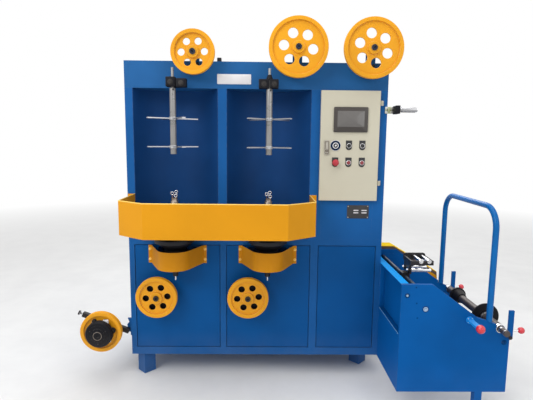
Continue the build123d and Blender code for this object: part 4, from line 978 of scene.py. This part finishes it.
def switch_ring(x, z, outer=0.0155, inner=0.0115, high=0.006, start=0.002):
    """The steel ring round a switch: a flat ring with a round lip."""
    return on_door([(inner, 0.0), (outer, 0.0), (outer, high * 0.5), (outer - 0.0015, high),
                    (inner, high)], x, z, start, bend=0.0008, closed=True)


def grip(x, z, degrees, length=0.024, width=0.008, high=0.018):
    """A selector's grip: a bar with round ends, tapered towards its top."""
    a = math.radians(degrees)
    flat = round_rectangle(width, length, width / 2 - 0.0002, 8) @ np.array(
        [[math.cos(a), math.sin(a)], [-math.sin(a), math.cos(a)]])
    return lifted(flat, x, z, ((1, 0.004), (1, 0.009), (0.86, high), (0.7, high + 0.001)))


def flat_ring(x, z, inner, outer, high):
    """A flat ring standing on the door."""
    return on_door(band(inner, outer, 0, high), x, z, segments=64, closed=True)


def cap(x, z, *profile):
    """A turned cap of a switch, 2 mm over the door."""
    return on_door(profile, x, z, 0.002)


print("faces of a switch ring:", len(switch_ring(0, 0)[1]))

# %% Switches
SWITCH_EDGE, SWITCH_STEP = 0.020, 0.080
low, high = low_high("control_buttons")
key_x, left_x, right_x = low[0] + SWITCH_EDGE + SWITCH_STEP * np.arange(3)
upper_z, lower_z = high[2] - SWITCH_EDGE, low[2] + SWITCH_EDGE
plain = [(left_x, upper_z), (right_x, upper_z), (key_x, lower_z), (left_x, lower_z),
         (right_x, lower_z)]
legend_shells = [legend(x, z) for x, z in plain]
legend_shells.append(cap(key_x, upper_z, *band(0, 0.0140, 0, 0.004)))
for x, degrees in ((left_x, 40), (right_x, -40)):
    legend_shells += [cap(x, upper_z, *band(0, 0.0112, 0, 0.004)), grip(x, upper_z, degrees)]
legend_shells.append(cap(key_x, lower_z, *band(0, 0.0135, 0, 0.010)))
switches = add_piece("switch_legends", legend_shells, "switch_black", "control_door")
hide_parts("control_buttons")
add_piece("switch_rings", [switch_ring(x, z) for x, z in plain if (x, z) != (key_x, lower_z)],
          "bright_steel", "control_door")
add_piece("stop_mushroom", [cap(key_x, lower_z, (0, 0.010), (0.012, 0.010), (0.0170, 0.014),
                                (0.0198, 0.017), (0.0198, 0.021), (0.0165, 0.026),
                                (0.008, 0.0285), (0, 0.029))], "switch_red", "control_door")
add_piece("push_lenses", [cap(x, lower_z, (0, 0), (0.0112, 0), (0.0112, 0.007), (0.0095, 0.0085),
                              (0, 0.0088)) for x in (left_x, right_x)], "lens_red", "control_door")
add_piece("key_rings", [flat_ring(key_x, upper_z, 0.0293, 0.0323, 0.0018),
                        flat_ring(key_x, upper_z, 0.0138, 0.0180, 0.0062),
                        grip(key_x, upper_z, -35, 0.013, 0.008, 0.010)], "switch_white",
          "control_door")
add_piece("key_collar", [flat_ring(key_x, upper_z, 0.0178, 0.0295, 0.0040)], "ring_blue",
          "control_door")
print("switches:", 1 + len(plain))

# %% Lock of the door
BAR = 0.0022
lock_x, _, lock_z = middle("door_lock")
lock_face = low_high("door_lock")[0][1]
lock_back = lock_face + 0.0004
lock_frame = [plate((lock_x + shift, lock_back, lock_z + rise), wide, tall, 0.0012, 0.0010, 0.0004)
              for shift, rise, wide, tall in ((-0.0105, 0, BAR, 0.070), (0.0105, 0, BAR, 0.070),
                                              (0, 0.035, 0.0210, BAR), (0, -0.035, 0.0210, BAR))]
lock_frame.append(switch_ring(lock_x, lock_z - 0.020, 0.0075, 0.0042, 0.0035,
                              door_face - lock_face + 0.0002))
add_piece("lock_frame", lock_frame, "key_brown", "control_door")
add_piece("lock_handle", [plate((lock_x, lock_back, lock_z + 0.010), 0.0120, 0.034, 0.0040, 0.0030,
                                0.0012)], "lock_beige", "control_door")
print("lock pieces:", len(lock_frame) + 1)

# %% [markdown]
# ## Plates
# A white sign plate sits on the header between the bays, and a small dark data plate under the
# door is held by four rivets. Each is a thin plate with a bevelled edge, and the data plate has
# a few raised level bands.

# %% Sign plate and data plate
DATA_THICK = 0.0016
data_at = at(625.5, 0.0, 926.5)
data_front = data_at - (0, DATA_THICK, 0)
add_piece("sign_plate", [plate(at(-133.5, 0.0, 1711.0), 0.200, 0.058, 0.0022, 0.004, 0.0007)],
          "plate_white")
add_piece("data_plate", [plate(data_at, 0.134, 0.082, DATA_THICK, 0.003, 0.0004)], "plate_dark")
bands = [plate(data_front + (shift, 0, rise), long, 0.0065, 0.0003, 0.0006, 0.0001)
         for rise in (0.009, -0.006) for shift, long in ((-0.012, 0.030), (0.038, 0.032))]
add_piece("data_bands", bands, "plate_white")
corners = [data_front + (x, 0, z) for x in (-0.060, 0.060) for z in (-0.034, 0.034)]
add_piece("data_rivets", caps(corners, 0.0032, 0.0016), "bolt_zinc")
print("bands and rivets:", len(bands) + len(corners))

# %% [markdown]
# ## Spindles, rollers, cones and bearings
# The heads' spindles are black below and bright at the top, where they stand out of the guard. A
# node of the frame has one finish, so the spindle is turned again: a black body, a worn steel
# collar with a fine thread, and in bright steel a nozzle below and three cable eyelets on pins.

# %% Spindles
BORE, NOZZLE, EYELET, WIRE = 0.0131, 0.0031, 0.00825, 0.00270


def eyelet(centre):
    """A round eyelet facing the operator: a circle turned about an axis along Y."""
    t = np.linspace(0, 2 * np.pi, 12, endpoint=False)
    circle = np.stack([EYELET + WIRE * np.cos(t), WIRE * np.sin(t)], axis=1)
    return hollow(circle, centre, BACK, 32)


def pin(start, end, radius):
    """A plain round pin from one point to another."""
    start, end = np.array(start, float), np.array(end, float)
    long = np.linalg.norm(end - start)
    return turned(band(0, radius, 0, long), start, (end - start) / long, 20, 0.0004)


for side in ("left", "right"):
    name, head = side + "_spindle", side + "_head"
    foot = middle(name) * (1, 1, 0) + (0, 0, low_high(name)[0][2])
    black = hollow([(BORE, 0.030), (0.014, 0.026), (0.016, 0.026), (0.016, 0.047),
                    (0.022, 0.049), (0.022, 0.443), (BORE, 0.443)], foot, UP, 48, 0.0010)
    body = add_piece(name + "_body", [black], "black_steel", head)
    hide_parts(name)
    teeth = [(0.0240 - 0.0010 * (k % 2), 0.444 + 0.0021 * k) for k in range(20)]
    collar = [(BORE, 0.443), (0.0232, 0.4432), *teeth, (0.0185, 0.4862), (0.0178, 0.4880),
              (0.0178, 0.5010), (BORE, 0.502)]
    add_piece(name + "_collar", [hollow(collar, foot, UP, 48)], "worn_steel", head, 40.0)
    shells = [hollow(band(NOZZLE, 0.005, 0.0, 0.027), foot, UP, 24, 0.0006)]
    for across, deep, rise in ((-0.010, -0.012, 0.529), (0.010, -0.012, 0.515),
                               (0.009, 0.0126, 0.535)):
        centre = foot + (across, deep, rise)
        shells += [eyelet(centre), pin(foot + (across, deep, 0.499), centre - (0, 0, 0.0078),
                                       0.0020)]
    add_piece(name + "_eyelets", shells, "bright_steel", head, 40.0)
print("spindles: 2")

# %% Cones, bearings and latch stems
CONE_BORE, SEAT = 0.0241, 0.020
near_r = extent("reel_cones")[0] / 2
a, b = (corner[1] for corner in low_high("reel_cones"))
flange = b - 0.012
near_cone = [(CONE_BORE, a), (near_r - 0.004, a), (near_r, a + 0.003), (near_r - 0.001, a + 0.008),
             (0.0310, a + 0.058), (CONE_BORE, a + 0.060)]
far_cone = [(CONE_BORE, flange - 0.060), (0.0310, flange - 0.058), (0.0440, flange - 0.006),
            (0.0450, flange - 0.001), (0.0520, flange), (0.0520, b - 0.002), (0.0300, b),
            (CONE_BORE, b)]
cones = add_piece("turned_cones", [hollow(profile, shaft_axis, BACK, 72, 0.0008)
                                   for profile in (near_cone, far_cone)], "cast_black",
                  "reel_shaft")
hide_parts("reel_cones")
add_piece("cone_rings", [hollow(band(CONE_BORE, 0.0330, a - 0.014, a - 0.001), shaft_axis, BACK,
                                48, 0.001)], "ground_steel", "reel_shaft")
a, b = (corner[1] for corner in low_high("shaft_bearings"))
bearings = [hollow([(0.0172, start), (0.0200, start - 0.0012), (0.0226, start - 0.0012),
                    (0.0236, start), (0.0236, end), (0.0226, end + 0.0012),
                    (0.0200, end + 0.0012), (0.0172, end)], shaft_axis, BACK, 48, 0.0005)
            for start, end in ((a, a + SEAT), (b - SEAT, b))]
seats = add_piece("bearing_rings", bearings, "bright_steel")
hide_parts("shaft_bearings")
for latch in ("near_latch", "far_latch"):
    low, depth = low_high(latch)[0][0], middle(latch)[1]
    height = middle(latch + "_knob")[2]
    add_piece(latch + "_stem", [pin((low + 0.0262, depth, height),
                                    (low_high(latch + "_knob")[0][0] + 0.001, depth, height),
                                    0.0054)], "bright_steel", latch)
print("bearings:", len(bearings))

# %% Cable guide rollers
GUIDE_Y, LOWER_Z, HALF = -220.0, 636.0, 0.062
LOWER_Y = (GUIDE_Y - 35.0, GUIDE_Y + 35.0)
uppers = [at(x, GUIDE_Y, 693.0) for x in (927.0, 973.0)]
roller_shells = [turned([(0, -HALF), (0.0085, -HALF), (0.0110, 0.003 - HALF),
                         (0.0110, HALF - 0.003), (0.0085, HALF), (0, HALF)], core, BACK, 40, 0.0008)
                 for core in uppers]
roller_shells += [turned([(0, 0), (0.0110, 0), (0.0110, 0.110), (0.0090, 0.1145), (0, 0.115)],
                         at(882.0, y, LOWER_Z), RIGHT, 40, 0.0008) for y in LOWER_Y]
rollers = add_piece("guide_rollers", roller_shells, "chrome", "traverse_carriage")
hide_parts("carriage_rollers")
guide_bolts = bolts([core + (0, -0.070, 0) for core in uppers], 0.013, 0.006)
guide_bolts += bolts([at(864.0, y, LOWER_Z) for y in LOWER_Y], 0.013, 0.006, LEFT)
guide_bolts += bolts([at(870.0, GUIDE_Y - 25.0, z) for z in (520.0, 560.0)], 0.010, 0.005)
add_piece("guide_bolts", guide_bolts, "bright_steel", "traverse_carriage")
print("guide rollers:", len(roller_shells))

# %% [markdown]
# ## Clamps, tubes and the guard's hem
# Two cast clamps under the header hold the spare tape tubes. Each is two blocks, joined behind the
# rod, and each block has one large screw. The tube has a rounded shoulder; its cross hole is not
# cut, and a small black cap on the tube is painted shade that stands for the hole's dark. The
# guard's top edge is folded to a round hem, so that no hand meets a sharp sheet: a thin pipe
# carried along the guard's corners, in a lighter yellow that is a painted highlight, gives its
# bright line.

# %% Clamps and tubes
HEAD_Y, CLAMP_Y = -75.0, -52.0
LEFT_HEAD, RIGHT_HEAD = -482.0, 74.0
clamp_shells, clamp_screws = [], []
clamp_blocks = {LEFT_HEAD: ((-36.0, 18.0, 1654.0, 1710.0), (22.0, 81.0, 1652.0, 1701.0)),
                RIGHT_HEAD: ((-62.0, -2.0, 1650.0, 1702.0), (2.0, 52.0, 1650.0, 1702.0))}
for x, blocks in clamp_blocks.items():
    for left, right, low, high in blocks:
        middle_x, middle_z = x + (left + right) / 2, (low + high) / 2
        clamp_shells.append(plate(at(middle_x, CLAMP_Y, middle_z), (right - left) / 1000,
                                  (high - low) / 1000, 0.046, 0.005, 0.003))
        clamp_screws.append(at(middle_x, CLAMP_Y - 46.0, middle_z - 2.0))
    first, last = blocks[0][0], blocks[1][1]
    clamp_shells.append(plate(at(x + (first + last) / 2, CLAMP_Y + 1.0, 1677.5),
                              (last - first - 8.0) / 1000, 0.045, 0.024, 0.003, 0.002))
    clamp_shells.append(plate(at(x, 0.0, 1678.5), 0.044, 0.045, 0.053, 0.002, 0.001))
clamp_shells.append(hollow([(0.0081, 1.700), (0.0200, 1.700), (0.0190, 1.706), (0.0125, 1.722),
                            (0.0115, 1.727), (0.0081, 1.727)], at(RIGHT_HEAD, HEAD_Y, 0.0), UP, 40,
                           0.001))
clamps = add_piece("cast_clamps", clamp_shells, "cast_black")
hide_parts("tube_hangers")
add_piece("clamp_screws", bolts(clamp_screws, 0.017, 0.007), "bolt_dark")
tube_profile = [(0, 1.613), (0.015, 1.613), (0.015, 1.271), (0.018, 1.271), (0.018, 1.645),
                (0.0155, 1.649), (0.0079, 1.649), (0.0079, 1.762), (0.0070, 1.763), (0, 1.763)]
tubes = add_piece("turned_tubes", [turned(tube_profile, at(x, HEAD_Y, 0.0), UP, 48, 0.0006)
                                   for x in clamp_blocks], "tube_steel")
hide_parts("spare_tubes")
# A black cap on each tube is painted shade that stands for the dark of its cross hole.
add_piece("tube_hole_shade", caps([at(x + 5.0, HEAD_Y - 16.0, 1639.0) for x in clamp_blocks], 0.0070,
                             0.0024), "switch_black")
print("clamp blocks:", len(clamp_screws))

# %% Bracket of the side roller
SIDE_Z = 1541.0
strap = [plate(at(788.5, 0.0, SIDE_Z), 0.047, 0.040, 0.006, 0.003, 0.0012),
         plate(at(780.2, 27.0, SIDE_Z), 0.066, 0.040, 0.0058, 0.003, 0.0012, FRONT)]
add_piece("roller_strap", strap, "strap_zinc")
block = add_piece("roller_block", [plate(at(824.5, -0.2, SIDE_Z), 0.025, 0.048, 0.0728, 0.004,
                                         0.003)], "cast_black")
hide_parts("roller_bracket")
axle = [(0, 0), (0.0058, 0), (0.0058, 0.1000), (0.0100, 0.1000), (0.0100, 0.1036),
        (0.0060, 0.1040), (0, 0.1040)]
add_piece("roller_axle", [turned(axle, at(836.8, -55.0, SIDE_Z), RIGHT, 32, 0.0005)],
          "bright_steel")
print("side bracket: 3 pieces")

# %% Hem of the guard
guard_top = (low_high("guard_rail")[1][2] - ORIGIN[2]) * 1000 - 1.2
hem_corners = [at(x, y, guard_top) for x, y in (
    (-736.5, -1.0), (-736.5, -315.8), (-580.5, -431.5), (172.5, -431.5), (328.5, -315.8),
    (328.5, -1.0))]
hem = add_piece("guard_hem", [tube(bent_route(hem_corners, 0.010, 6), 0.0030, 12)], "hem_yellow_painted_highlight")
print("hem faces:", len(hem.data.polygons))

# %% [markdown]
# ## Folded edges and what is seen through gaps
# Where a sheet is folded level, its top catches the whole sky and reads as a bright band. Such a
# band is laid as its own thin strip, so that it can carry a brighter paint than the wall under it:
# a painted highlight. The shaded ledge and the shadowed face under the chain guard's lip are dark
# strips of painted shade. A strip is a small rectangle carried along a bent line, which also gives
# the far panel its raised edge. Behind the lower pulleys a black disc is painted shade that shows
# dark through their holes, and under each head plate a black bowl closes the bearing housing. Both
# are turned.

# %% Strips along the stand's edges


def strip(upper, lower, near, far):
    """A strip between two bent lines of (right, up), from one depth to another.

    Row k is the rectangle with corners upper_k and lower_k, each at both depths. All numbers
    are millimetres from the cabinet.
    """
    return stacked([[at(u[0], near, u[1]), at(u[0], far, u[1]), at(v[0], far, v[1]),
                     at(v[0], near, v[1])] for u, v in zip(upper, lower)])


def shifted(line, rise):
    """A bent line moved up."""
    return [(x, z + rise) for x, z in line]


guard_line = [(785.0, 655.0), (935.0, 655.0), (1236.0, 478.0)]
shadow_strip_line = [(785.5, 651.0), (935.0, 651.0), (1236.0, 474.0)]
panel_line = [(781.0, 604.0), (947.0, 604.0), (1197.0, 422.0), (1243.0, 406.7)]
raised_line = [(781.0, 635.0), (950.0, 635.0), (1204.0, 450.0), (1243.0, 424.0)]
# The lip's bright yellow strip is a painted highlight on the guard's top face.
add_piece("chain_guard_lip", [strip(shifted(guard_line, 0.6), shifted(guard_line, -0.4), 249.4,
                                    354.8)], "lip_yellow")
# A dark brown strip under the lip is painted shadow on the guard's front face.
add_piece("chain_guard_shadow_strip", [strip(shadow_strip_line, shifted(shadow_strip_line, -21.0), 248.9, 249.9)],
          "key_brown")
add_piece("far_panel_edge", [strip(raised_line, panel_line, 230.3, 249.7)], "stand_blue")
# The wall's top lip and the ledge's edge are painted highlights, and the ledge's top is painted
# shade.
wall_bands = {"wall_top_band": (802.0, 605.0, 0.0436, 0.635, 0.0006, 0.0010, "edge_blue"),
              "wall_ledge_band": (781.7, 320.0, 0.0034, 0.630, 0.0006, 0.0006, "edge_pale"),
              "wall_ledge_shade": (797.8, 320.0, 0.0280, 0.630, 0.0005, 0.0006, "ledge_blue")}
for name, (x, z, wide, long, thick, corner, paint) in wall_bands.items():
    add_piece(name, [plate(at(x, -88.0, z), wide, long, thick, corner, 0.0002, upward=BACK)],
              paint)
add_piece("wall_closing_strip", [plate(at(796.0, 0.0, 459.5), 0.0318, 0.2785, 0.003, 0.0010,
                                       0.0006)], "stand_blue")
print("strips on the stand:", 4 + len(wall_bands))

# %% Discs behind the lower pulleys and bowls under the head plates
# A black disc behind each lower pulley is painted shade, so that its holes show dark.
LOWER_AXLES = ((-600.0, 401.0), (-44.0, 401.0))
discs = [hollow(band(0.014, 0.0975, 0, 0.004), at(x, -44.0, z), FRONT, 72, 0.0008)
         for x, z in LOWER_AXLES]
add_piece("pulley_shade_discs", discs, "cast_black")
bowl = [(0.040, 0.7549), (0.1135, 0.7549), (0.1110, 0.7500), (0.1010, 0.7390), (0.0840, 0.7250),
        (0.0660, 0.7110), (0.0560, 0.7000), (0.0535, 0.6945), (0.040, 0.6940)]
bowls = [hollow(bowl, at(x, HEAD_Y, 0.0), UP, 72, 0.002) for x in (LEFT_HEAD, RIGHT_HEAD)]
for points, _ in bowls:
    points[..., 1] = np.minimum(points[..., 1], ORIGIN[1] - 0.0005)
add_piece("head_bowls", bowls, "cast_black")
print("discs and bowls:", len(discs) + len(bowls))

# %% [markdown]
# ## Bolts, screws and caps
# The last pass is small steel. Each head sits where two parts are held together: on the guards'
# flanges, the pulley brackets, the tube clamps, the stand's panels and the hinges.

# %% Bolts on the cabinet
SIDES = (-1, 1)
TOP_AXLES = ((-364.0, 1850.0), (237.0, 1883.0), (666.0, 1883.0))
flange_bolts = [at(x + side * 170.0, -1.0, z) for x in (LEFT_HEAD, RIGHT_HEAD) for side in SIDES
                for z in (622.0, 686.0)]
guard_bolts = [at(x, -3.0, z) for x in (-757.0, 348.0) for z in (872.0, 992.0)]
bracket_bolts = [at(x + side * 17.0, -12.0, z) for x, _ in TOP_AXLES for side in SIDES
                 for z in (1756.0, 1794.0)]
axle_spots = [at(x, -102.0, z) for x, z in TOP_AXLES + LOWER_AXLES]
# The flange bolts carry the hem's lighter yellow, a painted highlight.
add_piece("flange_bolts", bolts(flange_bolts, 0.010, 0.0040), "hem_yellow_painted_highlight")
add_piece("guard_bolts", bolts(guard_bolts, 0.010, 0.0045), "bolt_zinc")
add_piece("bracket_bolts", bolts(bracket_bolts, 0.011, 0.005), "bolt_dark")
add_piece("axle_rings", [hollow(band(0.009, 0.0165, 0.0, 0.0016), spot, FRONT, 40, 0.0005)
                         for spot in axle_spots], "bolt_dark")
add_piece("axle_bolts", bolts(axle_spots, 0.013, 0.006, washer=False), "cast_black")
hinge_screws = [at(751.0, -3.0, z + side * 8.0) for z in (1105.0, 1581.0) for side in SIDES]
add_piece("hinge_screws", caps(hinge_screws, 0.0028, 0.0014), "bolt_zinc")
print("bolts on the cabinet:", len(guard_bolts) + len(flange_bolts) + len(bracket_bolts))

# %% Rivets at the ends of the crossed arms
ARM_MARGIN = 9.0
arm_tips = []
for x, long, first in ((LEFT_HEAD, 153.0, 33.0), (RIGHT_HEAD, 166.0, 45.0)):
    reach = long - ARM_MARGIN
    arm_tips += [at(x + reach * math.cos(a), HEAD_Y + reach * math.sin(a), z)
                 for z in (1316.9, 1478.9) for a in np.radians(first + 90.0 * np.arange(4))]
add_piece("arm_rivets", caps(arm_tips, 0.0030, 0.0008, UP), "ground_steel")
print("arm rivets:", len(arm_tips))

# %% Bolts on the stand and the side brackets
PANEL_Y, FEED_X = -426.0, -788.0
upper_bolt, middle_bolt, latch_bolt = (at(x, PANEL_Y, z) for x, z in (
    (812.0, 545.0), (914.0, 470.0), (1349.0, 286.0)))
panel_bolts = bolts([upper_bolt], 0.010, 0.005) + bolts([middle_bolt], 0.014, 0.007)
# The latch bolt, the dark caps and the washer rings are painted shade in a dark blue.
add_piece("painted_bolt", bolts([latch_bolt], 0.012, 0.005), "ledge_blue")
add_piece("panel_bolts", panel_bolts, "bolt_blue")
dark_spots = [at(x, PANEL_Y, z) for x, z in ((858.5, 590.0), (864.5, 502.0), (872.0, 420.0))]
add_piece("panel_caps", caps(dark_spots, 0.0050, 0.0012), "ledge_blue")
add_piece("panel_washers", [hollow(band(0.006, wide, 0, 0.0012), spot, FRONT, 40, 0.0004)
                            for spot, wide in ((upper_bolt, 0.0135), (middle_bolt, 0.0180),
                                               (latch_bolt, 0.0150))], "ledge_blue")
side_bolts = bolts([at(772.0, -6.0, SIDE_Z + side * 12.0) for side in SIDES], 0.009, 0.004)
side_bolts += bolts([at(806.0, -6.0, SIDE_Z + side * 11.0) for side in SIDES], 0.010, 0.007)
side_bolts += bolts([at(FEED_X, y, z) for y in (50.0, 80.0) for z in (141.0, 211.0)], 0.012, 0.006,
                    LEFT)
add_piece("side_bolts", side_bolts, "bolt_zinc")
lever_screws = [at(1155.0 + 14.0 * math.cos(a), PANEL_Y - 6.0, 411.0 + 14.0 * math.sin(a))
                for a in np.radians((45, 135, 225, 315))]
add_piece("lever_screws", caps(lever_screws, 0.0026, 0.0014), "bolt_zinc")
print("bolts on the stand:", len(panel_bolts) + len(lever_screws))

# %% Adjusting bolt of the entry arm, and the stub on the roof's edge
ARM_LONG = 0.308
tilt = math.radians(21.0)
along = np.array((-math.cos(tilt), 0.0, math.sin(tilt)))
tip = at(-798.0, 10.0, 149.0) + along * ARM_LONG
arm_steel = [turned(band(0, 0.0060, 0, 0.018), tip, along, 28, 0.0005)]
arm_steel += bolts([tip + along * 0.0175], 0.024, 0.009, along, washer=False)
arm_steel += bolts([tip - along * 0.0002], 0.020, 0.006, along, washer=False)
add_piece("arm_tip_bolt", arm_steel, "bright_steel")
add_piece("roof_stub", [plate(at(-222.0, 26.0, 1812.0), 0.026, 0.030, 0.024, 0.004, 0.003,
                              upward=BACK)], "black_steel")
print("arm tip at", np.round(tip, 3))

# %% [markdown]
# ## Floor and light
# The machine stands on a plain pale floor that fades into a white surround. Four large soft
# lamps and an even sky give the flat light of an overcast yard, with a soft shadow under the
# guards: one from the left is the strongest, one stands overhead, one stands behind, and a weak
# one fills in.

# %% Floor
FLOOR_REACH, FADE_START, FADE_END = 30.0, 3.2, 9.0
radius = np.concatenate([[0.0], np.geomspace(0.5, FLOOR_REACH, 28)])
floor_points = turned_points(np.stack([radius, np.zeros_like(radius)], axis=1), (0, 0, -0.0005),
                             UP, 96)
floor_mesh = bpy.data.meshes.new("floor")
floor_mesh.from_pydata(floor_points.reshape(-1, 3).tolist(), [],
                       grid_faces(len(radius), 96).tolist())
floor = bpy.data.objects.new("floor", floor_mesh)
bpy.context.scene.collection.objects.link(floor)
pale = bpy.data.materials.new("pale_floor")
pale.use_nodes = True
tree = pale.node_tree
ground = tree.nodes["Principled BSDF"]
ground.inputs["Roughness"].default_value = 0.9
where = wired(tree, "TexCoord", {}, "Object")
shade = mixed(tree, remap(tree, noise(tree, where, 3.0, 6.0, 0.6), 0.3, 0.7),
              (0.70, 0.70, 0.70), (0.76, 0.76, 0.755))
tree.links.new(shade, ground.inputs["Base Color"])
far = wired(tree, "VectorMath", {0: where}, "Value", operation="LENGTH")
white = wired(tree, "Emission", {"Strength": 1.0})
faded = wired(tree, "MixShader", {0: remap(tree, far, FADE_START, FADE_END), 1: ground.outputs[0],
                                  2: white})
tree.links.new(faded, tree.nodes["Material Output"].inputs["Surface"])
floor_mesh.materials.append(pale)
print("floor faces:", len(floor_mesh.polygons))

# %% Sky and lamps
SKY_LIGHT = 0.52
world = bpy.data.worlds.new("studio")
bpy.context.scene.world = world
world.use_nodes = True
tree = world.node_tree
sky = tree.nodes["Background"].inputs
rays = tree.nodes.new("ShaderNodeLightPath").outputs
seen = math_node(tree, "MAXIMUM", rays["Is Camera Ray"], math_node(
    tree, "MAXIMUM", rays["Is Glossy Ray"], rays["Is Transmission Ray"]))
tree.links.new(remap(tree, seen, 0.0, 1.0, SKY_LIGHT, 1.0), sky["Strength"])
sky["Color"].default_value = (1.0, 1.0, 1.0, 1.0)


def soft_lamp(name, place, aim, size, power):
    """A square area lamp of a size in metres, aimed at a point."""
    lamp = bpy.data.lights.new(name, "AREA")
    lamp.size, lamp.energy = size, power
    holder = bpy.data.objects.new(name, lamp)
    holder.matrix_world = Matrix.Translation(place) @ (
        Vector(aim) - Vector(place)).to_track_quat("-Z", "Y").to_matrix().to_4x4()
    bpy.context.scene.collection.objects.link(holder)


soft_lamp("key", (-3.6, -4.0, 4.6), (0.0, 0.0, 1.0), 3.2, 190.0)
soft_lamp("fill", (3.6, -4.0, 3.0), (0.2, 0.0, 0.9), 3.0, 40.0)
soft_lamp("zenith", (0.0, -0.6, 5.6), (0.0, -0.4, 0.0), 4.5, 170.0)
soft_lamp("back", (1.0, 4.5, 4.5), (0.0, 0.0, 1.2), 3.0, 110.0)
print("lamps:", len(bpy.data.lights))

# %% [markdown]
# ## Finish

# %% Finish
print("done")
